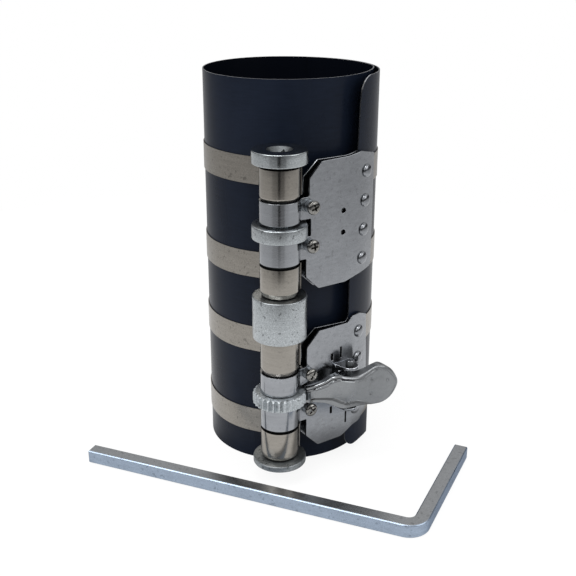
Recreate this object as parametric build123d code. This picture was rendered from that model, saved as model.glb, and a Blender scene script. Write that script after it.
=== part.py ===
"""Piston ring compressor: rolled sheet sleeve, four bands wound on a ratchet spindle, and its square key.

Millimetres. The sleeve's axis is Z, the floor is z = 0, and the spindle stands in front of the sleeve
at -Y. Angles are counter-clockwise from +X as seen from above.
"""

import os
from math import acos, asin, atan2, cos, degrees, hypot, radians, sin, sqrt, tan

from build123d import *

os.makedirs("parts", exist_ok=True)

# Clearances
running_gap = 0.07        # journal in knuckle, radial
pin_gap = 0.05            # pin in eye, radial
seat_gap = 0.02           # face to face, parts that are fastened together
layer_gap = 0.1           # between the sheets of the riveted sandwich
moving_gap = 0.3          # curved faces that pass each other

# Sleeve: one sheet rolled into a spiral
sleeve_height = 168.0
sheet = 0.5
body_radius = 33.25       # outer radius of the round part
leaf_rise = 7.6           # how far the outer leaf stands further out at its free edge
leaf_rise_angle = 95.0    # where the leaf starts to leave the circle
leaf_rise_span = 120.0
coil_start = 285.0        # where the sheet starts to leave the circle on its way inside
coil_rise = 5.25
coil_rise_span = 79.0
free_edge = -47.0         # first angle of the sheet, trimmed to a slanted edge
inner_end = 430.0         # last angle of the sheet, behind the leaf
edge_lean = 4.0           # how far the top of the free edge leans back
edge_corner = 7.0         # rounding of its two corners
bottom_rise = 3.0         # how far the leaf's bottom edge climbs towards the free edge
bottom_run = 24.0         # length of that climb

# Bands
band_width = 11.2
band_sheet = 0.3
band_drops = [0.83, 0.52, 2.0, 0.72]     # top edge of each band below the top of its roll
band_tilts = [1.42, 0.46, 0.58, 1.64]  # how far the highest side of each band lies above its middle
tilt_directions = [208.5, 68.6, 74.2, 48.5]     # the side where that is
tilt_radius = 36.0
band_start = -43.0        # band end under the bracket's tab
roll_wrap = 62.0          # how far the last layer stays clear of the roll

# Radii of the pieces on the spindle
core_radius = 5.5
foot_radius = 4.0
knuckle_outer = 8.15
bracket_sheet = 1.0
knuckle_inner = knuckle_outer - bracket_sheet
journal_radius = knuckle_inner - running_gap
roll_radius = 8.05
collar_radius = 11.1
head_radius = 11.0
flange_radius = 11.3
wheel_radius = 11.3
countersink_radius = 5.15

# Lengths of the pieces along the spindle
spindle_floor = 7.7       # bottom of the flange above the floor
flange_thickness = 2.6
roll_rooms = [2.5, 2.2, 3.9, 3.2]     # how much longer each roll is than its band is wide
roll_lengths = [band_width + room for room in roll_rooms]
roll_tapers = [1.2, 2.0, 2.0, 1.2]
knuckle_lengths = [9.0, 9.3, 8.7, 9.7]
collar_width = 5.6
coupling_length = 18.2
wheel_width = 5.6
head_height = 5.2
stack_gap = 0.4
collar_gap = 0.85         # on both sides of the collar ring

# Wheel, pawl and socket
tooth_count = 28
tooth_depth = 1.2
pawl_angle = -4.5         # where the pawl meets the wheel, seen from the spindle
pawl_depth = 0.4
pawl_place = 0.455        # share of a pitch from the steep flank to the middle of the pawl's tip
pawl_share = 0.2          # width of the tip as a share of a pitch
pawl_swing_gap = 0.45     # between the wheel and the nose beside the pawl
socket_across = 6.3
socket_depth = 14.0
socket_turn = 22.0

# Brackets. Their own directions: "along" the plate, and "out" from its front face
plate_turn = 33.0
plate_dip = 1.09          # the flat plate lies this much nearer to the sleeve's axis than its tab
spindle_along = -10.78    # the spindle's axis beside the plate's left edge
spindle_back = 3.8        # and behind its front face
sleeve_clear = 0.96       # between the sleeve and the widest piece on the spindle
notch_clear = 1.3         # between a collar or the wheel and the edge of its notch
flap_depth = 4.5          # front face of the rear layer behind the front face of the plate
flap_slope = 7.5          # the flap leans out towards the leaf
neck_radius = 2.0
plate_bend = 6.0
tab_ends = (-27.6, -26.6)     # last angle of the upper and of the lower tab
flap_end = -25.0
upper_margins = (0.7, -0.2)   # plate's top below the upper roll's top, its bottom above the lower roll's bottom
lower_margins = (0.4, 0.4)
corner_cut = (6.2, 6.2)       # size of the cut left corners, along and up
tab_rises = (1.6, 3.0)        # how far each tab rises above the top of its flat plate
tab_slant = 3.0               # the lower tab is this much shorter at its top
tab_corner = 2.0

# Fasteners
rivet_angles = [(-36.4, -38.4), (-39.3, -40.4)]     # top and bottom of the upper and of the lower row
rivet_edges = [5.5, 4.7, 4.2, 3.1]    # end rivets below the top edge of each band
rivet_shank = 1.2
rivet_head = 2.75
screw_along = 0.75
screw_steps = [6.1, 4.25, 6.6, 4.2]   # from the faces of the collar ring and of the wheel
screw_shank = 1.3
screw_head = 2.85
collar_outer = 2.6
collar_length = 2.3

# Lever and its clevis
lever_drop = 0.3          # the lever's middle below the wheel's middle
lever_sheet = 1.2
lever_eyes = (8.15, 6.5)      # how far the lower and the upper eye reach from the middle
ear_reach = 9.1               # how far the inside of each ear of the clevis lies from the middle
pivot_along, pivot_out = 19.3, 4.8
pin_radius = 1.45
clevis_sheet = 1.1
clevis_alongs = (14.2, 23.0)
ear_radius = 3.7
eye_radius = 2.6          # of the lever's eyes, clear of the clevis rivets
pin_stand = 2.4           # how far the hollow end of the pin stands above the clevis
clevis_rivet_along = 17.6
clevis_rivet_steps = (5.5, -4.1)
# Slots in the lower plate: along, above the lever's middle, width and height
plate_slots = [(13.4, 13.5, 1.2, 3.3), (18.0, 14.6, 1.0, 5.2), (13.4, -11.9, 1.2, 3.3), (21.4, -17.8, 0.9, 5.6)]
spring_wire = 0.4
spring_coil = 2.35
spring_pitch = 1.3

# Key
key_side = 6.0
key_start = (-86.17, -36.15)
key_turns = (-22.3, 65.1)
key_lengths = (152.2, 67.4)
key_outer_bend = 9.0
key_chamfer = 0.45

# Places that follow from the sizes
leaf_outer = body_radius + leaf_rise
tab_outer = leaf_outer + 3 * layer_gap + band_sheet + bracket_sheet
plate_reach = tab_outer - plate_dip
spindle_reach = body_radius + sleeve_clear + max(collar_radius, head_radius, flange_radius, wheel_radius)
spindle_swing = degrees(acos((plate_reach - spindle_back) / spindle_reach))
sleeve_along = spindle_along + spindle_reach * sin(radians(spindle_swing))
sleeve_back = plate_reach
spindle_x = spindle_reach * cos(radians(plate_turn - 90 - spindle_swing))
spindle_y = spindle_reach * sin(radians(plate_turn - 90 - spindle_swing))
plate_x = plate_reach * sin(radians(plate_turn)) - sleeve_along * cos(radians(plate_turn))
plate_y = -plate_reach * cos(radians(plate_turn)) - sleeve_along * sin(radians(plate_turn))
plate_rights = [sleeve_along + tab_outer * sin(radians(end + 90 - plate_turn)) for end in tab_ends]
plate_plan = Plane(origin=(plate_x, plate_y, 0),
                   x_dir=(cos(radians(plate_turn)), sin(radians(plate_turn)), 0), z_dir=(0, 0, 1))


def stacked():
    """Bottom and top of each piece along the spindle, from the flange up."""
    order = [("flange", flange_thickness, stack_gap), ("roll 4", roll_lengths[3], stack_gap),
             ("knuckle 4", knuckle_lengths[3], stack_gap), ("wheel", wheel_width, stack_gap),
             ("knuckle 3", knuckle_lengths[2], stack_gap), ("roll 3", roll_lengths[2], stack_gap),
             ("coupling", coupling_length, stack_gap), ("roll 2", roll_lengths[1], stack_gap),
             ("knuckle 2", knuckle_lengths[1], collar_gap), ("collar", collar_width, collar_gap),
             ("knuckle 1", knuckle_lengths[0], stack_gap), ("roll 1", roll_lengths[0], stack_gap),
             ("head", head_height, 0.0)]
    spans, z = {}, spindle_floor
    for name, length, gap in order:
        spans[name] = (z, z + length)
        z += length + gap
    return spans


spans = stacked()
roll_spans = [spans[f"roll {i}"] for i in (1, 2, 3, 4)]
knuckle_spans = [spans[f"knuckle {i}"] for i in (1, 2, 3, 4)]
screw_heights = [spans["collar"][1] + screw_steps[0], spans["collar"][0] - screw_steps[1],
                 spans["wheel"][1] + screw_steps[2], spans["wheel"][0] - screw_steps[3]]
lever_mid = sum(spans["wheel"]) / 2 - lever_drop
clevis_half = ear_reach + clevis_sheet
clevis_span = (lever_mid - clevis_half, lever_mid + clevis_half)
clevis_rivet_heights = [lever_mid + step for step in clevis_rivet_steps]


def tilt_at(index, x, y):
    """How far a band lies above its own middle height at a place of the plan."""
    a = radians(tilt_directions[index])
    return band_tilts[index] * (x * cos(a) + y * sin(a)) / tilt_radius


def band_middle(index):
    """Height of a band's middle plane at the sleeve's axis."""
    at_roll = roll_spans[index][1] - band_drops[index] - band_width / 2
    return at_roll - tilt_at(index, spindle_x, spindle_y)


def rivet_row(first, last, angles):
    """Angle and height of four even rivets, from the one in a band end to the one in the next."""
    ends = []
    for i, angle in zip((first, last), angles):
        x, y = leaf_outer * cos(radians(angle)), leaf_outer * sin(radians(angle))
        ends.append(band_middle(i) + tilt_at(i, x, y) + band_width / 2 - rivet_edges[i])
    return [(angles[0] + (angles[1] - angles[0]) * k / 3, ends[0] + (ends[1] - ends[0]) * k / 3) for k in range(4)]


upper_rivets = rivet_row(0, 1, rivet_angles[0])
lower_rivets = rivet_row(2, 3, rivet_angles[1])


# Plan shapes

def smooth(t):
    t = min(max(t, 0.0), 1.0)
    return t * t * (3 - 2 * t)


def leaf_radius(angle):
    """Outer radius of the outer leaf."""
    return body_radius + leaf_rise * smooth((leaf_rise_angle - angle) / leaf_rise_span)


def sheet_radius(angle):
    """Outer radius of the sheet from the free edge round to the inner end."""
    if angle < coil_start:
        return leaf_radius(angle)
    coil = body_radius + coil_rise * ((angle - coil_start) / coil_rise_span) ** 1.3
    if angle < 330:
        return coil
    inside = leaf_radius(angle - 360) - sheet - 2 * layer_gap
    blend = 0.3
    h = max(blend - abs(coil - inside), 0.0) / blend
    return min(coil, inside) - h * h * blend / 4


def polar(radius, angle):
    return radius * cos(radians(angle)), radius * sin(radians(angle))


def follow(radius_at, first, last, step=6.0):
    """A smooth curve through points of a polar formula."""
    count = max(2, round(abs(last - first) / step))
    angles = [first + (last - first) * i / count for i in range(count + 1)]
    return Spline([polar(radius_at(a), a) for a in angles])


def closed_face(edges):
    return make_face(Curve() + edges)


def walk(start, heading, moves, offset):
    """Edges of a path of runs and turns, shifted to the left by offset, with its two end points."""
    x, y, a = start[0], start[1], radians(heading)
    edges, points = [], []
    for kind, *size in moves:
        nx, ny = -sin(a), cos(a)
        first = (x + offset * nx, y + offset * ny)
        if kind == "run":
            x, y = x + size[0] * cos(a), y + size[0] * sin(a)
            last = (x + offset * nx, y + offset * ny)
            edges.append(Line(first, last))
        else:
            radius, turn = size[0], radians(size[1])
            side = 1 if turn > 0 else -1
            cx, cy = x + side * radius * nx, y + side * radius * ny
            reach = radius - side * offset
            middle_normal = (-sin(a + turn / 2), cos(a + turn / 2))
            last_normal = (-sin(a + turn), cos(a + turn))
            middle = (cx - side * reach * middle_normal[0], cy - side * reach * middle_normal[1])
            last = (cx - side * reach * last_normal[0], cy - side * reach * last_normal[1])
            edges.append(ThreePointArc(first, middle, last))
            a += turn
            x, y = cx - side * radius * last_normal[0], cy - side * radius * last_normal[1]
        points += [first, last]
    return edges, points[0], points[-1]


def ribbon(start, heading, moves, thickness):
    """A strip of even thickness along a path."""
    left, left_first, left_last = walk(start, heading, moves, thickness / 2)
    right, right_first, right_last = walk(start, heading, moves, -thickness / 2)
    return closed_face(left + right + [Line(left_first, right_first), Line(left_last, right_last)])


def rounded_outline(corners):
    """A closed outline from (x, y, corner radius)."""
    edges = []
    ends = []
    count = len(corners)
    for i, (x, y, radius) in enumerate(corners):
        before, after = corners[i - 1], corners[(i + 1) % count]
        ux, uy = before[0] - x, before[1] - y
        vx, vy = after[0] - x, after[1] - y
        ul, vl = hypot(ux, uy), hypot(vx, vy)
        ux, uy, vx, vy = ux / ul, uy / ul, vx / vl, vy / vl
        if radius <= 0:
            ends.append(((x, y), None, (x, y)))
            continue
        half = acos(max(-1.0, min(1.0, ux * vx + uy * vy))) / 2
        cut = radius / tan(half)
        bx, by = ux + vx, uy + vy
        bl = hypot(bx, by)
        far = radius / sin(half)
        centre = (x + bx / bl * far, y + by / bl * far)
        middle = (centre[0] - bx / bl * radius, centre[1] - by / bl * radius)
        ends.append(((x + ux * cut, y + uy * cut), middle, (x + vx * cut, y + vy * cut)))
    for i, (first, middle, last) in enumerate(ends):
        if middle:
            edges.append(ThreePointArc(first, middle, last))
        follower = ends[(i + 1) % count][0]
        if hypot(follower[0] - last[0], follower[1] - last[1]) > 1e-4:
            edges.append(Line(last, follower))
    return closed_face(edges)


def raised(face, bottom, top):
    """A plan face as a solid from bottom to top."""
    return extrude(Pos(0, 0, bottom) * face, top - bottom, dir=(0, 0, 1))


def front_prism(face, inner, outer):
    """A front outline (along, z) as a solid between two "out" distances of the plate."""
    front = Plane(origin=(plate_x, plate_y, 0), x_dir=plate_plan.x_dir,
                  z_dir=(sin(radians(plate_turn)), -cos(radians(plate_turn)), 0))
    return extrude(front * Pos(0, 0, inner) * face, outer - inner, dir=tuple(front.z_dir))


def front_pin(along, z, radius, inner, outer):
    """A round bar square to the plate."""
    return front_prism(Pos(along, z) * Circle(radius), inner, outer)


def radial_pin(angle, z, radius, inner, outer):
    """A round bar that points away from the sleeve's axis."""
    a = radians(angle)
    plane = Plane(origin=(inner * cos(a), inner * sin(a), z), x_dir=(-sin(a), cos(a), 0),
                  z_dir=(cos(a), sin(a), 0))
    return extrude(plane * Circle(radius), outer - inner, dir=tuple(plane.z_dir))


def turned(profile, x, y):
    """A solid of revolution about a vertical axis from (radius, z) points."""
    face = make_face(Plane.XZ * Polyline(profile + [profile[0]]))
    return Pos(x, y, 0) * revolve(face, Axis.Z)


def on_spindle(profile):
    return turned(profile, spindle_x, spindle_y)


def save(node, shape):
    export_step(shape, f"parts/{node}.step")
    print(node, len(shape.solids()), round(shape.volume, 2))


def group(shapes):
    return Compound(children=[s if isinstance(s, Solid) else s.solids()[0] for s in shapes])


# Sleeve

def edge_trim():
    """Solid that trims the free edge of the leaf: slanted, with two rounded corners."""
    a = radians(free_edge + 5.0)
    base = leaf_outer * 0.87
    plane = Plane(origin=(base * cos(a), base * sin(a), 0), x_dir=(-sin(a), cos(a), 0),
                  z_dir=(cos(a), sin(a), 0))
    left, over = -3.4, 12.0
    bend_height, corner_height = sleeve_height * 0.494, sleeve_height - edge_corner - 2.0
    outline = [(-over, -2, 0), (bottom_run + 2.5, -2, 0), (bottom_run, 0, 0), (10.5, bottom_rise, 20),
               (left, bottom_rise + 0.3, edge_corner), (left + 0.4, bend_height, 0),
               (left + 0.4 + edge_lean, corner_height, 0),
               (left + 1.3 + edge_lean, sleeve_height + 0.1, edge_corner + 0.5), (over, sleeve_height, 0),
               (over, sleeve_height + 2, 0), (-over, sleeve_height + 2, 0)]
    face = rounded_outline(outline)
    return extrude(plane * face, over, dir=tuple(plane.z_dir))


def rivet_holes(rivets):
    inner, outer = leaf_outer - 3.3, tab_outer + 2.0
    return [radial_pin(angle, z, rivet_shank + pin_gap, inner, outer) for angle, z in rivets]


def sheet_side(inward):
    """Curves of one side of the sheet: the leaf, the round part and the inner coil."""
    round_radius = body_radius - inward
    leaf = follow(lambda a: sheet_radius(a) - inward, free_edge, leaf_rise_angle)
    coil = follow(lambda a: sheet_radius(a) - inward, coil_start, inner_end)
    middle = polar(round_radius, (leaf_rise_angle + coil_start) / 2)
    body = ThreePointArc(polar(round_radius, leaf_rise_angle), middle, polar(round_radius, coil_start))
    return [leaf, body, coil]


def make_sleeve():
    outer, inner = sheet_side(0), sheet_side(sheet)
    ends = [Line(outer[0] @ 0, inner[0] @ 0), Line(outer[2] @ 1, inner[2] @ 1)]
    body = raised(closed_face(outer + inner + ends), 0, sleeve_height)
    body -= edge_trim()
    for hole in rivet_holes(upper_rivets + lower_rivets):
        body -= hole
    return body


# Bands

def band_side(offset):
    """Edges of one side of a band: round the sleeve, straight over, and round its roll."""
    sleeve_reach = body_radius + layer_gap + band_sheet / 2
    roll_reach = roll_radius + moving_gap + band_sheet / 2
    apart = hypot(spindle_x, spindle_y)
    towards = degrees(atan2(spindle_y, spindle_x)) % 360
    lean = degrees(acos((sleeve_reach + roll_reach) / apart))
    leave = towards - lean
    meet = leave - 180
    wrap = follow(lambda a: leaf_radius(a) + layer_gap + band_sheet / 2 + offset, band_start, leaf_rise_angle)
    round_reach, roll_arc = sleeve_reach + offset, roll_reach - offset
    end = polar(round_reach, leave)
    round_sleeve = ThreePointArc(polar(round_reach, leaf_rise_angle),
                                 polar(round_reach, (leaf_rise_angle + leave) / 2), end)

    def at_roll(angle):
        x, y = polar(roll_arc, angle)
        return x + spindle_x, y + spindle_y

    straight = Line(end, at_roll(meet))
    last = at_roll(meet - roll_wrap)
    round_roll = ThreePointArc(at_roll(meet), at_roll(meet - roll_wrap / 2), last)
    return [wrap, round_sleeve, straight, round_roll], wrap @ 0, last


def make_band(index):
    outer, outer_first, outer_last = band_side(band_sheet / 2)
    inner, inner_first, inner_last = band_side(-band_sheet / 2)
    plan = closed_face(outer + inner + [Line(outer_first, inner_first), Line(outer_last, inner_last)])
    middle = band_middle(index)
    tilt = atan2(band_tilts[index], tilt_radius)
    a = radians(tilt_directions[index])
    slab = Plane(origin=(0, 0, middle), x_dir=(-sin(a), cos(a), 0),
                 z_dir=(-cos(a) * sin(tilt), -sin(a) * sin(tilt), cos(tilt)))
    reach = spindle_reach + body_radius
    strip = raised(plan, middle - band_width - 4, middle + band_width + 4)
    band = strip & (slab * Box(2 * reach, 2 * reach, band_width))
    end_rivets = (upper_rivets[0], upper_rivets[3], lower_rivets[0], lower_rivets[3])
    return band - rivet_holes([end_rivets[index]])[0]


# Spindle

def square_hole(bottom, top, across):
    hole = raised(Rectangle(across, across), bottom, top)
    return Pos(spindle_x, spindle_y, 0) * Rot(0, 0, socket_turn) * hole


def make_shaft():
    """Core with a thicker journal in each knuckle."""
    foot, shoulder = spans["flange"][0] + 1.0, spans["flange"][1] + seat_gap
    profile = [(0.0, foot), (foot_radius, foot), (foot_radius, shoulder), (core_radius, shoulder)]
    for bottom, top in sorted(knuckle_spans):
        profile += [(core_radius, bottom + 0.1), (journal_radius, bottom + 0.1),
                    (journal_radius, top - 0.1), (core_radius, top - 0.1)]
    top = spans["head"][1] - socket_depth - 0.1
    profile += [(core_radius, top), (0.0, top)]
    return on_spindle(profile)


def make_drive_head():
    """Top disc with a stem, countersunk, with a square socket."""
    bottom, top = spans["head"]
    foot = top - socket_depth
    sink, throat = 2.0, socket_across / 2 + 0.45
    rim = head_radius
    body = on_spindle([(0, foot), (core_radius, foot), (core_radius, bottom), (rim - 0.3, bottom),
                       (rim, bottom + 0.3), (rim, top - 0.5), (rim - 0.5, top), (0, top)])
    body -= square_hole(foot - 1, top + 1, socket_across)
    body -= on_spindle([(0, top - sink), (throat, top - sink), (countersink_radius, top),
                        (countersink_radius, top + 1), (0, top + 1)])
    return body


def make_roll(index):
    bottom, top = roll_spans[index]
    taper = roll_tapers[index]
    bore = core_radius + seat_gap
    return on_spindle([(bore, bottom), (roll_radius - 0.9, bottom), (roll_radius, bottom + taper),
                       (roll_radius, top - 0.2), (roll_radius - 0.2, top), (bore, top)])


def make_collar(span, radius, chamfer_size):
    bottom, top = span
    bore = core_radius + seat_gap
    c = chamfer_size
    return on_spindle([(bore, bottom), (radius - 0.3, bottom), (radius, bottom + 0.3), (radius, top - c),
                       (radius - c, top), (bore, top)])


def make_flange():
    bottom, top = spans["flange"]
    bore = foot_radius + seat_gap
    return on_spindle([(bore, bottom), (flange_radius - 0.4, bottom), (flange_radius, bottom + 0.4),
                       (flange_radius, top - 0.4), (flange_radius - 0.4, top), (bore, top)])


def wheel_outline():
    """Saw teeth: a steep flank that the pawl holds, and a long flank that it slips over."""
    pitch = 360 / tooth_count
    root = wheel_radius - tooth_depth
    points = []
    for i in range(tooth_count):
        a = pawl_angle + (i - pawl_place) * pitch
        points.append(polar(root, a))
        points.append(polar(root, a + 0.12 * pitch))
        points.append(polar(wheel_radius, a + 0.86 * pitch))
        points.append(polar(wheel_radius, a + pitch))
    return make_face(Polyline(points + [points[0]]))


def make_wheel():
    bottom, top = spans["wheel"]
    body = Pos(spindle_x, spindle_y, 0) * raised(wheel_outline(), bottom, top)
    bore = core_radius + seat_gap
    cone = on_spindle([(bore, bottom - 1), (wheel_radius - 1.7, bottom - 1), (wheel_radius + 0.3, bottom + 0.8),
                       (wheel_radius + 0.3, top - 0.8), (wheel_radius - 0.7, top + 0.01), (bore, top + 0.01)])
    return body & cone


# Brackets

def bracket_plan(bracket_tab, bracket_flap):
    """The folded sheet from above: tab, plate, knuckle and flap in one strip."""
    half = bracket_sheet / 2
    tab = tab_outer - half
    bend = plate_bend
    front = half
    lean = degrees(acos((sleeve_back - front - bend) / (tab - bend)))
    plate_centre_angle = plate_turn + 270.0
    sweep = (bracket_tab + 360.0) - (plate_centre_angle + lean)
    start_angle = bracket_tab + 360.0 - plate_turn
    start = polar(tab, start_angle)
    start = (start[0] + sleeve_along, start[1] + sleeve_back)
    plate_first = sleeve_along + (tab - bend) * sin(radians(lean))

    ring = knuckle_outer - half
    front_drop = spindle_back - front
    front_angle = degrees(asin((front_drop + neck_radius) / (ring + neck_radius)))
    front_reach = (ring + neck_radius) * cos(radians(front_angle))
    rear = flap_depth + half
    rear_drop = rear - spindle_back
    rear_angle = degrees(asin((rear_drop + neck_radius) / (ring + neck_radius)))
    rear_reach = (ring + neck_radius) * cos(radians(rear_angle))

    flap = leaf_outer - sheet - layer_gap - half
    kink = 0.5
    kink_cut = bend * tan(radians(flap_slope / 2))
    c, s = cos(radians(flap_slope)), sin(radians(flap_slope))
    ahead = (sleeve_along - kink) * c - (sleeve_back - rear) * s
    aside = (sleeve_along - kink) * s + (sleeve_back - rear) * c
    past = sqrt((flap - bend) ** 2 - (aside - bend) ** 2)
    touch_turn = degrees(asin(past / (flap - bend)))
    touch_lean = touch_turn - flap_slope
    flap_sweep = (bracket_flap + 360.0) - (plate_centre_angle + touch_lean)

    moves = [
        ("turn", tab, -sweep),
        ("turn", bend, -lean),
        ("run", plate_first - (spindle_along + front_reach)),
        ("turn", neck_radius, 90 - front_angle),
        ("turn", ring, -(360 - front_angle - rear_angle)),
        ("turn", neck_radius, 90 - rear_angle),
        ("run", kink - kink_cut - (spindle_along + rear_reach)),
        ("turn", bend, -flap_slope),
        ("run", ahead + past - kink_cut),
        ("turn", bend, touch_turn),
        ("turn", flap, flap_sweep),
    ]
    return ribbon(start, start_angle - 90.0, moves, bracket_sheet)


def knuckle_side(upper, lower, notch, left, soft=0.6):
    """Left side of a front outline: two knuckles with a notch between them, walked downwards."""
    ring = spindle_along - knuckle_outer - 3.0
    return [(ring, upper[1], 0), (ring, upper[0], 0), (notch, upper[0], soft), (notch, lower[1], soft),
            (ring, lower[1], 0), (ring, lower[0], 0), (left, lower[0], 0.5)]


def upper_outline():
    """Front outline of the upper bracket."""
    top, bottom = roll_spans[0][1] - upper_margins[0], roll_spans[1][0] + upper_margins[1]
    notch = spindle_along + collar_radius + notch_clear
    upper_left, lower_left = spindle_along + 11.5, spindle_along + 10.3
    right = plate_rights[0]
    bend = sleeve_along + 9.6
    cut, rise = corner_cut
    side = knuckle_side(knuckle_spans[0], knuckle_spans[1], notch, lower_left)
    return rounded_outline(side + [
        (lower_left, bottom + rise, 2.0), (lower_left + cut, bottom + 0.2, 1.5), (sleeve_along + 4.3, bottom + 0.3, 4.0),
        (bend, bottom + 2.0, 4.0), (right, bottom + 3.4, tab_corner), (right, top - 0.7, tab_corner),
        (bend + 1.5, top + tab_rises[0], 4.0),
        (bend - 5.0, top + 0.4, 6.0), (upper_left + cut, top, 1.0), (upper_left, top - rise, 1.5),
        (upper_left, knuckle_spans[0][1], 1.0)])


def lower_outline():
    """Front outline of the lower bracket, whose tab rises above the flat plate."""
    top, bottom = roll_spans[2][1] - lower_margins[0], roll_spans[3][0] + lower_margins[1]
    notch = spindle_along + wheel_radius + notch_clear
    left, right = spindle_along + 11.2, plate_rights[1]
    bend = sleeve_along + 9.6
    cut, rise = corner_cut
    high = top + tab_rises[1]
    side = knuckle_side(knuckle_spans[2], knuckle_spans[3], notch, left)
    return rounded_outline(side + [
        (left, bottom + rise, 1.5), (left + cut, bottom, 1.5), (sleeve_along + 4.3, bottom + 0.2, 5.0),
        (bend + 0.5, bottom + 3.8, 5.0), (right - 6.1, bottom + 4.2, tab_corner), (right, bottom + 8.9, tab_corner),
        (right - tab_slant, top + 0.8, 1.2), (bend + 4.0, high, 4.0), (bend - 0.8, high, 2.0), (bend - 3.2, top + 0.3, 1.5), (left + cut, top, 1.0), (left, top - rise, 1.5),
        (left, knuckle_spans[2][1], 1.0)])


def make_bracket(outline, low, high, last_angle, rivets, extra_holes):
    plan = plate_plan * bracket_plan(last_angle, flap_end)
    body = extrude(Pos(0, 0, low - 5) * plan, high - low + 10, dir=(0, 0, 1))
    body &= front_prism(outline, -sleeve_back, 2 * knuckle_outer)
    for hole in rivet_holes(rivets):
        body -= hole
    for along, z, radius in extra_holes:
        body -= front_pin(along, z, radius, -flap_depth - 3 * bracket_sheet, 2.0)
    return body


def make_upper_bracket():
    middle = sum(spans["collar"]) / 2 - 0.3
    holes = [(screw_along, z, screw_shank + pin_gap) for z in screw_heights[:2]]
    holes += [(clevis_rivet_along, middle + step, 1.1) for step in (4.7, -4.5)]
    low, high = roll_spans[1][0], roll_spans[0][1]
    return make_bracket(upper_outline(), low, high, tab_ends[0], upper_rivets, holes)


def make_lower_bracket():
    holes = [(screw_along, z, screw_shank + pin_gap) for z in screw_heights[2:]]
    low, high = roll_spans[3][0], roll_spans[2][1]
    body = make_bracket(lower_outline(), low, high, tab_ends[1], lower_rivets, holes)
    for z in clevis_rivet_heights:
        body -= front_pin(clevis_rivet_along, z, rivet_shank + pin_gap, -3.0, 2.0)
    for along, step, width, height in plate_slots:
        body -= front_prism(Pos(along, lever_mid + step) * Rectangle(width, height), -3.0, 2.0)
    return body


def dome(radius, height, steps=5):
    """Half profile of a domed head from its rim up to its top."""
    ball = (radius * radius + height * height) / (2 * height)
    spread = asin(radius / ball)
    return [(ball * sin(spread * (1 - i / steps)), ball * cos(spread * (1 - i / steps)) - ball + height)
            for i in range(steps + 1)]


def rivet_shape(grip, tail):
    """A rivet along +Z: its head starts at z = 0, and its shank runs down through the grip."""
    rim = 0.35
    head = [(r, z + rim) for r, z in dome(rivet_head, 1.15)]
    profile = [(0, -grip - tail), (rivet_shank * 1.5, -grip - tail), (rivet_shank * 1.7, -grip - 0.25),
               (rivet_shank * 1.7, -grip), (rivet_shank, -grip), (rivet_shank, 0), (rivet_head, 0)] + head
    return revolve(make_face(Plane.XZ * Polyline(profile + [profile[0]])), Axis.Z)


def make_rivets(rivets):
    outer = tab_outer + seat_gap
    inner = leaf_outer - sheet - layer_gap - bracket_sheet - 0.07
    shape = rivet_shape(outer - inner, 0.9)
    made = []
    for angle, z in rivets:
        a = radians(angle)
        plane = Plane(origin=(outer * cos(a), outer * sin(a), z), x_dir=(-sin(a), cos(a), 0),
                      z_dir=(cos(a), sin(a), 0))
        made.append(plane * shape)
    return group(made)


def on_front(shape, along, out, z):
    """Stand a shape that was made along +Z square on the plate."""
    c, s = cos(radians(plate_turn)), sin(radians(plate_turn))
    origin = (plate_x + along * c + out * s, plate_y + along * s - out * c, z)
    return Plane(origin=origin, x_dir=(c, s, 0), z_dir=(s, -c, 0)) * shape


def screw_shape():
    """Pan head screw along +Z with a cross recess; z = 0 is the underside of the head."""
    grip = collar_length + 2 * bracket_sheet + (flap_depth - bracket_sheet) + 4 * seat_gap
    tail = grip + 2.4
    head = [(screw_head, 0), (screw_head, 0.9)] + [(r, z + 0.9) for r, z in dome(screw_head, 1.0)[1:]]
    profile = [(0, -tail), (screw_shank - 0.3, -tail), (screw_shank, -tail + 0.3), (screw_shank, 0)] + head
    body = revolve(make_face(Plane.XZ * Polyline(profile + [profile[0]])), Axis.Z)
    for turn in (20, 110):
        body -= Rot(0, 0, turn) * Pos(0, 0, 1.6) * Box(3.2, 0.6, 1.2)
    return body


def make_screws():
    shape = screw_shape()
    return group([on_front(shape, screw_along, collar_length + 2 * seat_gap, z) for z in screw_heights])


def make_screw_collars():
    ring = raised(Circle(collar_outer) - Circle(screw_shank + pin_gap), seat_gap, collar_length + seat_gap)
    return group([on_front(ring, screw_along, 0, z) for z in screw_heights])


def make_screw_nuts():
    back = flap_depth + bracket_sheet + seat_gap
    nut = raised(RegularPolygon(2.9, 6) - Circle(screw_shank + 0.02), -back - 1.8, -back)
    return group([on_front(nut, screw_along, 0, z) for z in screw_heights])


# Lever

# Along the plate, out from it, above and below the middle, and how far back the folded edge goes
lever_stations = [(-1.5, 3.1, 3.9, 3.3, 0.7), (2.0, 4.0, 4.3, 3.5, 1.5), (6.2, 5.7, 5.6, 4.3, 2.9),
                  (9.3, 6.9, 7.3, 5.7, 3.6), (12.5, 7.9, 7.8, 7.5, 4.0), (15.4, 9.0, 7.0, 8.4, 3.4),
                  (20.3, 10.6, 6.4, 8.0, 4.6), (24.3, 11.7, 8.2, 7.5, 7.4), (27.7, 12.7, 10.1, 7.5, 9.0),
                  (31.2, 13.5, 10.0, 7.2, 8.8), (34.9, 13.9, 7.7, 5.6, 9.4), (37.6, 14.1, 4.1, 2.6, 10.4)]
lever_tip = (38.8, 14.1, 0.7, 11.0)     # along, out, above the middle, and back


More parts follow.
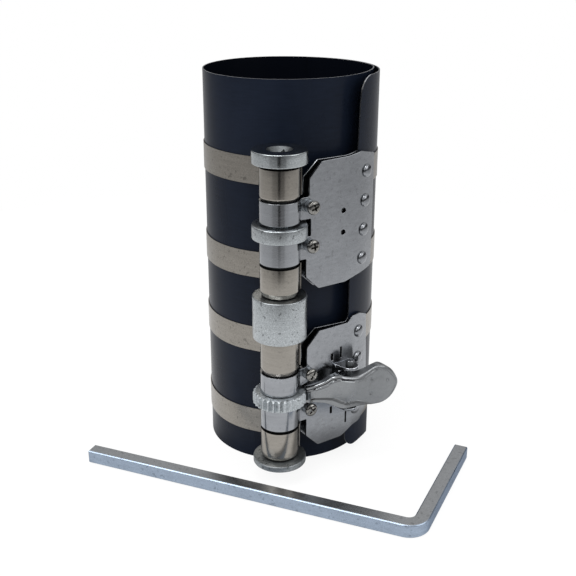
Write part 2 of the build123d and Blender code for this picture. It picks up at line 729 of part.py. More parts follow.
def lever_front(inset):
    """Front outline of the lever, drawn in by inset."""
    tip = (lever_tip[0] - inset, lever_mid + lever_tip[2])
    top = [(a, lever_mid + up - inset) for a, _, up, _, _ in lever_stations]
    low = [(a, lever_mid - down + inset) for a, _, _, down, _ in lever_stations]
    if inset:
        top[0], low[0] = (top[0][0] + inset, top[0][1]), (low[0][0] + inset, low[0][1])
        top[-1], low[-1] = (top[-1][0] - inset, top[-1][1]), (low[-1][0] - inset, low[-1][1])
    upper = Spline(top + [tip], tangents=[(1, 0), (0, -1)])
    lower = Spline(low + [tip], tangents=[(1, 0), (0, 1)])
    return closed_face([upper, lower, Line(upper @ 0, lower @ 0)])


def lever_slice(front_shift, back_shift):
    """Plan of the lever between its face, moved inwards, and the back of its folded edges."""
    ends = lever_stations + [(lever_tip[0], lever_tip[1], 0, 0, lever_tip[3])]
    face = Spline([(a, -(out - front_shift)) for a, out, _, _, _ in ends])
    inner = Spline([(a, -(back - back_shift)) for a, _, _, _, back in ends])
    sides = [Line(face @ 0, inner @ 0), Line(face @ 1, inner @ 1)]
    return plate_plan * closed_face([face, inner] + sides)


def tall(face, low, high):
    return extrude(Pos(0, 0, low) * face, high - low, dir=(0, 0, 1))


def make_lever():
    low, high = lever_mid - 12, lever_mid + 12
    body = tall(lever_slice(0, 0), low, high) & front_prism(lever_front(0), -2, 20)
    hollow = tall(lever_slice(lever_sheet, 3), low, high)
    hollow &= front_prism(lever_front(lever_sheet), -6, 20)
    body -= hollow
    eye = Pos(pivot_along, -pivot_out) * Circle(eye_radius)
    eye += Pos(pivot_along, -(pivot_out + 2.2)) * Rectangle(2 * eye_radius, 4.4)
    for bottom in (lever_mid + lever_eyes[1] - lever_sheet, lever_mid - lever_eyes[0]):
        body += tall(plate_plan * eye, bottom, bottom + lever_sheet)
    body -= tall(plate_plan * Pos(pivot_along, -pivot_out) * Circle(pin_radius + pin_gap), low, high)
    bottom, top = spans["wheel"]
    body -= Pos(spindle_x, spindle_y, 0) * raised(Circle(wheel_radius + pawl_swing_gap), bottom - 0.5, top + 0.5)
    return body + make_pawl()


def make_pawl():
    """Wedge inside the nose that drops between two teeth."""
    half = pawl_share * 180 / tooth_count
    tip, shoulder = wheel_radius - pawl_depth, wheel_radius + 0.3
    nose = hypot(lever_stations[0][0] - spindle_along, lever_stations[0][1] + spindle_back)
    outer = max(nose, wheel_radius + pawl_swing_gap) + 0.9
    points = [polar(tip, pawl_angle - half), polar(tip, pawl_angle + half), polar(shoulder, pawl_angle + half + 0.8),
              polar(outer, pawl_angle + half + 2.2), polar(outer, pawl_angle - half - 4.0),
              polar(shoulder, pawl_angle - half)]
    wedge = make_face(Polyline(points + [points[0]]))
    return Pos(spindle_x, spindle_y, 0) * raised(wedge, lever_mid - 2.2, lever_mid + 2.2)


def make_clevis():
    """Web on the plate, with an ear above and below the lever."""
    low, high = clevis_span
    left, right = clevis_alongs
    web = front_prism(Pos((left + right) / 2, (low + high) / 2) * Rectangle(right - left, high - low),
                      seat_gap, seat_gap + clevis_sheet)
    apart = hypot(pivot_along - left, pivot_out - seat_gap)
    way = atan2(pivot_out - seat_gap, pivot_along - left) + asin(ear_radius / apart)
    run = sqrt(apart ** 2 - ear_radius ** 2)
    touch = (left + run * cos(way), -(seat_gap + run * sin(way)))
    sides = [(left, -seat_gap), touch, (pivot_along, -pivot_out), (right, -pivot_out), (right, -seat_gap)]
    tongue = make_face(Polyline(sides + [sides[0]])) + Pos(pivot_along, -pivot_out) * Circle(ear_radius)
    body = web
    for bottom in (low, high - clevis_sheet):
        body += tall(plate_plan * tongue, bottom, bottom + clevis_sheet)
    body -= tall(plate_plan * Pos(pivot_along, -pivot_out) * Circle(pin_radius + 0.02), low - 1, high + 1)
    for z in clevis_rivet_heights:
        body -= front_pin(clevis_rivet_along, z, rivet_shank + pin_gap, -1, 3)
    return body


def make_clevis_rivets():
    """Flat rivets through clevis and plate."""
    out = clevis_sheet + 2 * seat_gap
    grip = out + bracket_sheet + seat_gap
    profile = [(0, -grip - 0.8), (1.7, -grip - 0.8), (1.9, -grip), (rivet_shank, -grip), (rivet_shank, 0), (2.1, 0),
               (2.1, 0.3), (1.4, 0.8), (0, 0.95)]
    shape = revolve(make_face(Plane.XZ * Polyline(profile + [profile[0]])), Axis.Z)
    return group([on_front(shape, clevis_rivet_along, out, z) for z in clevis_rivet_heights])


def pivot_point():
    c, s = cos(radians(plate_turn)), sin(radians(plate_turn))
    return plate_x + pivot_along * c + pivot_out * s, plate_y + pivot_along * s - pivot_out * c


def make_pivot_pin():
    low, high = clevis_span
    top = high + pin_stand
    x, y = pivot_point()
    return turned([(0, low - 1.1), (1.9, low - 1.1), (2.2, low - 0.7), (2.2, low - seat_gap),
                   (pin_radius, low - seat_gap), (pin_radius, high + seat_gap), (1.85, high + seat_gap),
                   (1.85, top - 0.4), (1.6, top), (1.3, top), (1.1, top - 1.1), (0, top - 1.2)], x, y)


def make_spring():
    """Torsion spring round the pin: one leg on the clevis web, one behind the lever's face."""
    first, last = 104.0, -115.0
    turns = 4 + (last - first + 360) / 360
    base = lever_mid - spring_pitch * turns / 2
    helix = Helix(pitch=spring_pitch, height=spring_pitch * turns, radius=spring_coil)
    body = sweep(Plane(origin=helix @ 0, z_dir=helix % 0) * Circle(spring_wire), path=helix)
    for place, way, length in ((helix @ 0, -(helix % 0), 4.0), (helix @ 1, helix % 1, 5.3)):
        level = Vector(way.X, way.Y, 0).normalized()
        body += extrude(Plane(origin=place, z_dir=level) * Circle(spring_wire), length, dir=tuple(level))
    return plate_plan * Pos(pivot_along, -pivot_out, base) * Rot(0, 0, first) * body


# Key

def make_key():
    first, second = key_turns
    bend = second - first
    cut = key_outer_bend * tan(radians(bend / 2))
    a = radians(first)
    half = key_side / 2
    start = (key_start[0] - half * sin(a), key_start[1] + half * cos(a))
    plan = ribbon(start, first, [("run", key_lengths[0] - cut), ("turn", key_outer_bend - half, bend),
                                 ("run", key_lengths[1] - cut)], key_side)
    body = raised(plan, 0, key_side)
    return chamfer(body.edges(), key_chamfer)


def main():
    save("sleeve", make_sleeve())
    for i in range(4):
        save(f"band_{i + 1}", make_band(i))
        save(f"band_roll_{i + 1}", make_roll(i))
    save("spindle_shaft", make_shaft())
    save("drive_head", make_drive_head())
    save("collar_ring", make_collar(spans["collar"], collar_radius, 0.7))
    save("coupling_collar", make_collar(spans["coupling"], collar_radius, 0.5))
    save("ratchet_wheel", make_wheel())
    save("bottom_flange", make_flange())
    save("upper_bracket", make_upper_bracket())
    save("lower_bracket", make_lower_bracket())
    save("upper_rivets", make_rivets(upper_rivets))
    save("lower_rivets", make_rivets(lower_rivets))
    save("clamp_screws", make_screws())
    save("screw_collars", make_screw_collars())
    save("screw_nuts", make_screw_nuts())
    save("pivot_clevis", make_clevis())
    save("clevis_rivets", make_clevis_rivets())
    save("pivot_pin", make_pivot_pin())
    save("ratchet_lever", make_lever())
    save("lever_spring", make_spring())
    save("key", make_key())


if __name__ == "__main__":
    main()
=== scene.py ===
"""Piston ring compressor: finishes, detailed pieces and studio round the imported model, in metres."""

from math import cos, exp, hypot, pi, radians, sin

import bmesh
import bpy
from bpy.props import FloatProperty, FloatVectorProperty, PointerProperty
from mathutils import Matrix, Vector


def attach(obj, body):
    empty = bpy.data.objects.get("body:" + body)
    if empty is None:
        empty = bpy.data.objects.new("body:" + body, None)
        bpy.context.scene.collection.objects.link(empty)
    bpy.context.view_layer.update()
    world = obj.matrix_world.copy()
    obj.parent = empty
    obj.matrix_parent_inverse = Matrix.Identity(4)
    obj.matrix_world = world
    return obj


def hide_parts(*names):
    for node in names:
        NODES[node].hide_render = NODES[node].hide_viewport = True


bl_info = {
    "name": "Piston ring compressor",
    "version": (1, 0, 0),
    "blender": (4, 5, 0),
    "location": "View3D > Sidebar > Compressor",
    "description": "Finishes and detailed pieces of a piston ring compressor with its key",
    "category": "Object",
}

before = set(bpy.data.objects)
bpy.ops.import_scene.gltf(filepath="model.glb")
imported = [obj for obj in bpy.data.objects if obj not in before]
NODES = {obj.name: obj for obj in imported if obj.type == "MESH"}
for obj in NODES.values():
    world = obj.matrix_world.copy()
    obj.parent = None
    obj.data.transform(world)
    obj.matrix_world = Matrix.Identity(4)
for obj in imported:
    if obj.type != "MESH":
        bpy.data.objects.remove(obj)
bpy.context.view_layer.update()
MM = 0.001
# Points nearer than this are one point
SAME = 0.000002
# Rows of the grid that a threaded rod is made from
THREAD_ROWS = 128

# The brackets' own directions: along the plate, and out from its front face
PLATE_TURN = radians(33.0)
PLATE_ORIGIN = Vector((10.01467, -42.81254, 0.0)) * MM
ALONG = Vector((cos(PLATE_TURN), sin(PLATE_TURN), 0.0))
OUT = Vector((sin(PLATE_TURN), -cos(PLATE_TURN), 0.0))
UP = Vector((0.0, 0.0, 1.0))

# Places that the solids give, in millimetres
SPINDLE = (-1.09583, -45.49680)
RIVET_SEAT = 42.47
RIVET_GRIP = 3.29
# Angle round the sleeve in degrees, and height
UPPER_RIVETS = ((-36.4, 130.392), (-37.067, 118.053), (-37.733, 105.713), (-38.4, 93.374))
LOWER_RIVETS = ((-39.3, 60.048), (-39.667, 47.665), (-40.033, 35.283), (-40.4, 22.901))
SCREW_ALONG = 0.75
SCREW_SEAT = 2.34
SPACER_SEAT = 0.02
NUT_SEAT = -5.52
SCREW_HEIGHTS = (120.45, 104.5, 47.8, 31.4)
SCREW_TURNS = (0.35, 0.1, 0.9, 0.6)
PIVOT = (19.3, 4.8)
LEVER_MID = 38.1
PIN_FOOT = 26.8
CLEVIS_RIVETS = (43.6, 34.0)
CLEVIS_RIVET_ALONG = 17.6
CLEVIS_SEAT = 1.14
SPINDLE_BORE = 5.52


def on_plate(along, out, z):
    """A point given in the brackets' own directions, millimetres in, metres out."""
    return PLATE_ORIGIN + (ALONG * along + OUT * out + UP * z) * MM


class Wiring:
    """Adds nodes to a tree and links them."""

    def __init__(self, tree):
        self.tree = tree

    def add(self, kind, inputs=None, **settings):
        made = self.tree.nodes.new(kind)
        for key, value in settings.items():
            setattr(made, key, value)
        for key, value in (inputs or {}).items():
            for one in value if isinstance(value, list) else [value]:
                if isinstance(one, bpy.types.NodeSocket):
                    self.tree.links.new(one, made.inputs[key])
                else:
                    made.inputs[key].default_value = one
        return made

    def maths(self, operation, first, second=0.0):
        return self.add("ShaderNodeMath", {0: first, 1: second}, operation=operation).outputs[0]

    def plus(self, first, second):
        return self.maths("ADD", first, second)

    def minus(self, first, second):
        return self.maths("SUBTRACT", first, second)

    def times(self, first, second):
        return self.maths("MULTIPLY", first, second)

    def ramp(self, factor, stops, low=0.0, high=1.0):
        """A colour or a grey level read between stops, whose places lie between low and high."""
        if (low, high) != (0.0, 1.0):
            factor = self.number(factor, 0.0, 1.0, low, high)
        made = self.add("ShaderNodeValToRGB", {"Fac": factor})
        elements = made.color_ramp.elements
        while len(elements) < len(stops):
            elements.new(0.5)
        for element, (place, colour) in zip(elements, stops):
            element.position = (place - low) / (high - low)
            element.color = (*(colour if isinstance(colour, tuple) else (colour,) * 3), 1.0)
        return made.outputs["Color"]

    def number(self, factor, low, high, start=0.0, end=1.0):
        return self.add("ShaderNodeMapRange", {"Value": factor, "From Min": start, "From Max": end,
                                               "To Min": low, "To Max": high}).outputs["Result"]

    def mix(self, factor, first, second, blend="MIX"):
        made = self.add("ShaderNodeMix", data_type="RGBA", blend_type=blend)
        for key, value in ((0, factor), (6, first), (7, second)):
            if isinstance(value, bpy.types.NodeSocket):
                self.tree.links.new(value, made.inputs[key])
            else:
                made.inputs[key].default_value = value if key == 0 else (*value, 1.0)
        return made.outputs[2]

    def split(self, vector):
        return self.add("ShaderNodeSeparateXYZ", {"Vector": vector}).outputs

    def vector(self, x, y, z):
        return self.add("ShaderNodeCombineXYZ", {"X": x, "Y": y, "Z": z}).outputs[0]


# Materials

class Finish(Wiring):
    """A node material, built step by step on the object's own coordinates."""

    def __init__(self, name, roughness, metallic=1.0):
        self.material = bpy.data.materials.new(name)
        self.material.use_nodes = True
        super().__init__(self.material.node_tree)
        self.shader = self.tree.nodes["Principled BSDF"]
        self.shader.inputs["Roughness"].default_value = roughness
        self.shader.inputs["Metallic"].default_value = metallic
        self.place = self.add("ShaderNodeTexCoord").outputs["Object"]

    def stretched(self, scale):
        """Coordinates scaled in each direction, so that a pattern runs along the piece."""
        return self.add("ShaderNodeMapping", {"Vector": self.place, "Scale": scale}).outputs["Vector"]

    def noise(self, scale, detail, stretch=None):
        where = self.stretched(stretch) if stretch else self.place
        made = self.add("ShaderNodeTexNoise", {"Vector": where, "Scale": scale, "Detail": detail,
                                               "Roughness": 0.55})
        return made.outputs["Fac"]

    def set(self, **sockets):
        for key, value in sockets.items():
            name = key.replace("_", " ")
            if isinstance(value, bpy.types.NodeSocket):
                self.tree.links.new(value, self.shader.inputs[name])
            else:
                self.shader.inputs[name].default_value = value

    def bump(self, height, distance):
        made = self.add("ShaderNodeBump", {"Height": height, "Distance": distance, "Strength": 1.0})
        self.tree.links.new(made.outputs["Normal"], self.shader.inputs["Normal"])


def darker(colour, share):
    return tuple(c * share for c in colour)


# Patterns per metre: brushing lines, soft mottling, waves in the sheet, zinc crystals, their grains, and pits
LINES, MOTTLE, WAVES, CRYSTALS, GRAINS, PITS = 900.0, 90.0, 70.0, 1400.0, 2600.0, 620.0
# Where the satin of the lever's pad begins and is full, along the plate in millimetres
SATIN_RUN = (15.0, 20.0)


def brushed(name, colour, roughness, along, mottle=0.12, speckle=0.0, upward_tone=None, satin=None):
    """Sheet or bar metal: fine lines along one direction, soft mottling, a zinc speckle and another colour on
    upward faces.
    Satin is another roughness, reached where the lever's arm goes over into its pad."""
    finish = Finish(name, roughness)
    lines = finish.noise(LINES, 2.0, stretch=along)
    patches = finish.noise(MOTTLE, 4.0)
    shade = finish.plus(finish.times(lines, 0.5), finish.times(patches, 0.5))
    tone = finish.ramp(shade, [(0.30, darker(colour, 1 - mottle)), (0.70, darker(colour, 1 + mottle))])
    # Upward faces take another colour: painted shade on the clevis, a plainer grey on the key
    if upward_tone is not None:
        level = finish.split(finish.add("ShaderNodeNewGeometry").outputs["True Normal"])["Z"]
        tone = finish.mix(finish.number(level, 0.0, 1.0, 0.75, 0.95), tone, upward_tone)
    height = finish.plus(lines, finish.times(finish.noise(WAVES, 2.0), 6.0))
    if speckle:
        crystals = finish.add("ShaderNodeTexVoronoi", {"Vector": finish.place, "Scale": CRYSTALS})
        grains = finish.ramp(finish.noise(GRAINS, 1.0), [(0.35, (0.25, 0.25, 0.26)), (0.65, 1.0)])
        tone = finish.mix(speckle, tone, grains, "MULTIPLY")
        pits = finish.ramp(finish.noise(PITS, 1.0), [(0.30, 0.2), (0.36, 1.0)])
        tone = finish.mix(min(1.0, 1.3 * speckle), tone, pits, "MULTIPLY")
        height = finish.plus(height, finish.times(crystals.outputs["Distance"], 1.2))
    finish.set(Base_Color=tone)
    dull = finish.number(patches, 0.85, 1.2, 0.3, 0.7)
    if satin is not None:
        along_plate = finish.add("ShaderNodeVectorMath", {0: finish.place, 1: tuple(ALONG)},
                                 operation="DOT_PRODUCT")
        start, end = (PLATE_ORIGIN.dot(ALONG) + run * MM for run in SATIN_RUN)
        roughness = finish.number(along_plate.outputs["Value"], roughness, satin, start, end)
    finish.set(Roughness=finish.times(dull, roughness))
    finish.bump(height, 0.000004)
    return finish.material


def blued_sheet(colour, edge_colour):
    """Blue-black oxide on the faces, painted shade on the inner wall of the roll, and bright metal on the
    sheet's cut edges.
    """
    finish = Finish("Blued_sheet", 0.3, 0.0)
    patches = finish.noise(35.0, 5.0, stretch=(1.0, 1.0, 0.35))
    lines = finish.noise(500.0, 2.0, stretch=(0.25, 0.25, 3.0))
    shade = finish.plus(finish.times(patches, 0.7), finish.times(lines, 0.3))
    tone = finish.ramp(shade, [(0.32, darker(colour, 0.7)), (0.68, darker(colour, 1.35))])
    normal = finish.split(finish.add("ShaderNodeNewGeometry").outputs["True Normal"])
    rim = finish.maths("GREATER_THAN", finish.maths("ABSOLUTE", normal["Z"]), 0.7)
    where = finish.split(finish.place)
    reach = finish.maths("SQRT", finish.plus(finish.times(where["X"], where["X"]),
                                             finish.times(where["Y"], where["Y"])))
    facing = finish.minus(finish.times(normal["Y"], where["X"]), finish.times(normal["X"], where["Y"]))
    side = finish.maths("GREATER_THAN", finish.maths("ABSOLUTE", finish.maths("DIVIDE", facing, reach)), 0.7)
    outward = finish.plus(finish.times(normal["X"], where["X"]), finish.times(normal["Y"], where["Y"]))
    # Painted shade: faces that look in towards the axis, the roll's inner wall, are painted at 0.3 of the
    # oxide's colour
    tone = finish.mix(finish.maths("LESS_THAN", outward, 0.0), tone, darker(colour, 0.3))
    edge = finish.maths("MAXIMUM", rim, side)
    cut = finish.mix(rim, darker(edge_colour, 0.35), edge_colour)
    finish.set(Base_Color=finish.mix(edge, tone, cut), Metallic=edge,
               Roughness=finish.number(patches, 0.24, 0.34, 0.3, 0.7), IOR=1.2)
    finish.bump(lines, 0.000003)
    return finish.material


def colour(name, description, default):
    return FloatVectorProperty(name=name, description=description, default=default, subtype="COLOR",
                               min=0, max=1)


def length(name, description, default):
    return FloatProperty(name=name, description=description, default=default * MM, subtype="DISTANCE",
                         unit="LENGTH")


class CompressorFinishes(bpy.types.PropertyGroup):
    """Colours of the metals."""
    sleeve: colour("Sleeve", "Blue-black oxide of the rolled sheet", (0.006, 0.009, 0.017))
    sleeve_edge: colour("Cut edge", "Bright metal on the sheet's cut edges", (0.45, 0.46, 0.48))
    band: colour("Bands", "Cold rolled band steel", (0.325, 0.305, 0.275))
    bracket: colour("Brackets", "Plated sheet of the two brackets", (0.30, 0.312, 0.332))
    zinc: colour("Zinc", "Speckled zinc on collars and wheel", (0.515, 0.55, 0.57))
    lever: colour("Lever", "Satin plating of the lever", (0.265, 0.275, 0.285))
    key: colour("Key", "Blue zinc on the square key", (0.34, 0.41, 0.51))
    screw: colour("Screws", "Bright plated screws", (0.30, 0.295, 0.28))


class CompressorSizes(bpy.types.PropertyGroup):
    """Sizes of the small repeated pieces."""
    rivet_radius: length("Rivet head radius", "Radius of the domed rivet heads", 2.75)
    rivet_height: length("Rivet head height", "Height of the domed rivet heads", 1.5)
    screw_radius: length("Screw head radius", "Radius of the pan heads", 2.85)
    spacer_radius: length("Spacer radius", "Radius of the collars under the screw heads", 2.6)


FINISHES = {node: finish for finish, nodes in {
    "Blued_sheet": "sleeve",
    "Band_steel": "band_1 band_2 band_3 band_4",
    "Roll_steel": "band_roll_1 band_roll_2 band_roll_3 band_roll_4",
    "Shaft_steel": "spindle_shaft",
    "Head_steel": "drive_head",
    "Speckled_zinc": "collar_ring coupling_collar screw_collars",
    "Wheel_zinc": "ratchet_wheel",
    "Flange_zinc": "bottom_flange",
    "Bracket_sheet": "upper_bracket lower_bracket",
    "Clevis_sheet": "pivot_clevis",
    "Rivet_steel": "upper_rivets lower_rivets clevis_rivets pivot_pin",
    "Screw_steel": "clamp_screws screw_nuts",
    "Lever_plating": "ratchet_lever",
    "Spring_wire": "lever_spring",
    "Key_zinc": "key",
}.items() for node in nodes.split()}


class COMPRESSOR_OT_finishes(bpy.types.Operator):
    """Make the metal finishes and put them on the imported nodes"""
    bl_idname = "compressor.finishes"
    bl_label = "Finishes"

    def execute(self, context):
        c = context.scene.compressor_finishes
        # How much of each direction the brushing lines take: round a turned piece, along a plate, or none
        level, plate, even = (0.08, 0.08, 1.0), (0.4, 0.4, 1.0), (1.0, 1.0, 1.0)
        blued_sheet(tuple(c.sleeve), tuple(c.sleeve_edge))
        brushed("Band_steel", c.band, 0.3, level, speckle=0.3)
        brushed("Roll_steel", c.band, 0.16, level, speckle=0.12)
        brushed("Bracket_sheet", c.bracket, 0.2, plate, mottle=0.14, speckle=0.15)
        brushed("Speckled_zinc", c.zinc, 0.3, level, speckle=0.5)
        brushed("Head_steel", c.zinc, 0.18, level, speckle=0.3)
        # Painted shade: a dark copy of the zinc, put in the drive head's socket and countersink and on the
        # pivot pin's hollow end and its body below the top ring
        brushed("Socket_steel", darker(c.zinc, 0.3), 0.45, level, speckle=0.4)
        # Painted shade: a near-black copy of the zinc, put on the ends of the rolls and under the head and
        # the wheel, where the gaps lie in shade
        brushed("Oiled_steel", darker(c.zinc, 0.05), 0.4, level)
        brushed("Wheel_zinc", darker(c.zinc, 1.15), 0.45, level, speckle=0.5)
        brushed("Flange_zinc", darker(c.zinc, 0.72), 0.42, level, speckle=0.5)
        # Painted highlight: a copy of the bracket sheet at 2.8 times its brightness, put on the rounded edge
        # of the flap's cut corner and on the clevis's rounded edges
        brushed("Sheet_edge", darker(c.bracket, 2.8), 0.2, even)
        brushed("Knuckle_sheet", darker(c.bracket, 1.08), 0.13, level, mottle=0.1, speckle=0.08)
        # Painted shade: the clevis's upward faces, the tops of its ears, are painted at 0.3 of the sheet's
        # colour
        brushed("Clevis_sheet", darker(c.bracket, 0.7), 0.24, plate, mottle=0.14, speckle=0.15,
                upward_tone=darker(c.bracket, 0.3))
        brushed("Shaft_steel", darker(c.zinc, 0.7), 0.35, level)
        brushed("Rivet_steel", darker(c.bracket, 0.95), 0.22, even, speckle=0.15)
        brushed("Screw_steel", c.screw, 0.16, even, mottle=0.2, speckle=0.5)
        brushed("Lever_plating", c.lever, 0.14, (0.6, 0.6, 1.0), mottle=0.06, speckle=0.08, satin=0.38)
        brushed("Spring_wire", (0.25, 0.25, 0.27), 0.3, even)
        # The key's upward faces take a plainer grey than its blue sides
        key = brushed("Key_zinc", c.key, 0.3, (0.2, 0.2, 1.0), speckle=0.25, upward_tone=(0.38, 0.39, 0.40))
        key.node_tree.nodes["Principled BSDF"].inputs["Specular Tint"].default_value = (0.4, 0.42, 0.46, 1.0)
        for node, finish in FINISHES.items():
            NODES[node].data.materials.clear()
            NODES[node].data.materials.append(bpy.data.materials[finish])
        return {"FINISHED"}


# Building blocks

class Shape(Wiring):
    """A Geometry Nodes tree with named sizes, built step by step."""

    def __init__(self, name, sizes):
        super().__init__(bpy.data.node_groups.new(name, "GeometryNodeTree"))
        sockets = self.tree.interface
        sockets.new_socket("Geometry", in_out="OUTPUT", socket_type="NodeSocketGeometry")
        sockets.new_socket("Geometry", in_out="INPUT", socket_type="NodeSocketGeometry")
        self.names = {}
        for label, size in sizes.items():
            kind = "NodeSocketInt" if isinstance(size, int) else "NodeSocketFloat"
            made = sockets.new_socket(label, in_out="INPUT", socket_type=kind)
            if kind == "NodeSocketFloat":
                made.subtype = "DISTANCE"
            made.default_value = size
            self.names[label] = made.identifier
        self.names["Material"] = sockets.new_socket("Material", in_out="INPUT",
                                                    socket_type="NodeSocketMaterial").identifier
        self.given = self.tree.nodes.new("NodeGroupInput").outputs

    def share(self, factor, values):
        """A value read from a row of shares between nought and one."""
        made = self.add("ShaderNodeFloatCurve", {"Value": factor})
        points = made.mapping.curves[0].points
        while len(points) < len(values):
            points.new(0.5, 0.5)
        for i, value in enumerate(values):
            points[i].location = (i / (len(values) - 1), value)
            points[i].handle_type = "VECTOR"
        made.mapping.update()
        return made.outputs[0]

    def position(self):
        return self.split(self.add("GeometryNodeInputPosition").outputs[0])

    def turned(self, profile, radius, height, around=48, lift=0.0, thread=None, teeth=None):
        """Closed solid of revolution: a grid wrapped round Z along a profile of radius and height shares."""
        rows = 16 if thread is None else THREAD_ROWS
        if thread is None:
            while rows < len(profile) - 1:
                rows *= 2
            profile = profile + [profile[-1]] * (rows + 1 - len(profile))
        grid = self.add("GeometryNodeMeshGrid", {"Size X": 1.0, "Size Y": 1.0, "Vertices X": around + 1,
                                                 "Vertices Y": rows + 1})
        place = self.position()
        turn, step = self.plus(place["X"], 0.5), self.plus(place["Y"], 0.5)
        angle = self.times(turn, 2 * pi)
        reach = self.times(self.share(step, [p[0] for p in profile]), radius)
        level = self.times(self.share(step, [p[1] for p in profile]), height)
        if thread is not None:
            pitch, depth = thread
            along = self.plus(self.maths("DIVIDE", level, pitch), turn)
            wave = self.times(self.maths("PINGPONG", along, 0.5), self.times(depth, 2.0))
            inside = self.maths("LESS_THAN", self.maths("ABSOLUTE", place["Y"]), 0.47)
            reach = self.minus(reach, self.times(wave, inside))
        if teeth is not None:
            reach = self.maths("MINIMUM", reach, teeth(self, turn, level))
        where = self.vector(self.times(reach, self.maths("COSINE", angle)),
                            self.times(reach, self.maths("SINE", angle)), self.plus(level, lift))
        moved = self.add("GeometryNodeSetPosition", {"Geometry": grid.outputs["Mesh"], "Position": where})
        merged = self.add("GeometryNodeMergeByDistance", {"Geometry": moved.outputs[0], "Distance": SAME})
        return merged.outputs[0]

    def block(self):
        """A cube of one metre, to be scaled."""
        return self.add("GeometryNodeMeshCube", {"Size": (1.0, 1.0, 1.0)}).outputs["Mesh"]

    def cut(self, body, *tools, operation="DIFFERENCE"):
        made = self.add("GeometryNodeMeshBoolean", operation=operation, solver="EXACT")
        if operation == "DIFFERENCE":
            self.tree.links.new(body, made.inputs["Mesh 1"])
        else:
            tools = (body, *tools)
        for tool in tools:
            self.tree.links.new(tool, made.inputs["Mesh 2"])
        return made.outputs["Mesh"]

    def stood(self, *parts):
        """Copy the shape to every given point, turned as the point's facing says, and finish the tree."""
        shape = parts[0]
        if len(parts) > 1:
            shape = self.add("GeometryNodeJoinGeometry", {"Geometry": list(parts)}).outputs[0]
        facing = self.add("GeometryNodeInputNamedAttribute", {"Name": "facing"}, data_type="FLOAT_VECTOR")
        turned = self.add("FunctionNodeEulerToRotation", {0: facing.outputs[0]}).outputs[0]
        made = self.add("GeometryNodeInstanceOnPoints", {"Points": self.given["Geometry"], "Instance": shape,
                                                         "Rotation": turned})
        return self.finish(made.outputs[0])

    def finish(self, geometry):
        real = self.add("GeometryNodeRealizeInstances", {"Geometry": geometry}).outputs[0]
        painted = self.add("GeometryNodeSetMaterial", {"Geometry": real, "Material": self.given["Material"]})
        end = self.tree.nodes.new("NodeGroupOutput")
        self.tree.links.new(painted.outputs[0], end.inputs[0])
        return self


def facing(outward, turn=0.0):
    """Angles that stand a shape made along +Z on a surface, square to it and turned about its own axis."""
    side = UP.cross(outward).normalized()
    rows = Matrix((side, outward.cross(side), outward)).transposed()
    return (rows @ Matrix.Rotation(turn, 3, "Z")).to_euler()


def smooth_mesh(mesh, sharp=radians(34.0)):
    """Outward faces, smooth shading, and sharp edges only where the real piece has them."""
    work = bmesh.new()
    work.from_mesh(mesh)
    bmesh.ops.remove_doubles(work, verts=work.verts, dist=SAME)
    bmesh.ops.recalc_face_normals(work, faces=work.faces)
    work.to_mesh(mesh)
    work.free()
    mesh.polygons.foreach_set("use_smooth", [True] * len(mesh.polygons))
    mesh.set_sharp_from_angle(angle=sharp)


def grown(name, shape, places, sizes, material):
    """Run a tree on points with facings and keep the result as a plain mesh."""
    points = bpy.data.meshes.new(name + "_points")
    points.from_pydata([tuple(place) for place, turn in places], [], [])
    layer = points.attributes.new("facing", "FLOAT_VECTOR", "POINT")
    for item, (place, turn) in zip(layer.data, places):
        item.vector = tuple(turn)
    return grown_on(name, shape, points, sizes, material)


def settled(holder, layers=False):
    """The mesh of an object with its modifiers worked in. The object goes."""
    graph = bpy.context.evaluated_depsgraph_get()
    made = bpy.data.meshes.new_from_object(holder.evaluated_get(graph), preserve_all_data_layers=layers,
                                           depsgraph=graph)
    bpy.data.objects.remove(holder)
    return made


def grown_on(name, shape, base, sizes, material):
    holder = bpy.data.objects.new(name + "_base", base)
    bpy.context.scene.collection.objects.link(holder)
    modifier = holder.modifiers.new("Shape", "NODES")
    modifier.node_group = shape.tree
    for label, size in sizes.items():
        modifier[shape.names[label]] = size
    modifier[shape.names["Material"]] = bpy.data.materials[material]
    mesh = settled(holder, layers=True)
    for extra in [a.name for a in mesh.attributes if a.name == "facing"]:
        mesh.attributes.remove(mesh.attributes[extra])
    smooth_mesh(mesh)
    return linked(name, mesh)


def linked(name, mesh):
    mesh.name = name
    made = bpy.data.objects.new(name, mesh)
    bpy.context.scene.collection.objects.link(made)
    return made


def stands_for(piece, body, node):
    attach(piece, body)
    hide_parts(node)


# Fasteners

def rivet_shape():
    """Domed head with a small rim, and the tail that was upset behind the sheets."""
    tree = Shape("Rivet", {"Head radius": 2.75 * MM, "Head height": 1.5 * MM, "Grip": RIVET_GRIP * MM,
                           "Tail radius": 2.0 * MM, "Tail height": 0.9 * MM})
    g = tree.given
    turns = [radians(9.0 * i) for i in range(11)]
    dome = [(0.97 * sin(t), 0.22 + 0.78 * cos(t)) for t in turns] + [(1.0, 0.14), (1.0, 0.0), (0.0, 0.0)]
    head = tree.turned(dome, g["Head radius"], g["Head height"])
    tail = [(0.0, 1.0), (1.0, 1.0), (1.0, 0.75), (0.94, 0.4), (0.75, 0.1), (0.4, 0.0), (0.0, 0.06)]
    drop = tree.times(tree.plus(g["Grip"], g["Tail height"]), -1.0)
    return tree.stood(head, tree.turned(tail, g["Tail radius"], g["Tail height"], lift=drop))


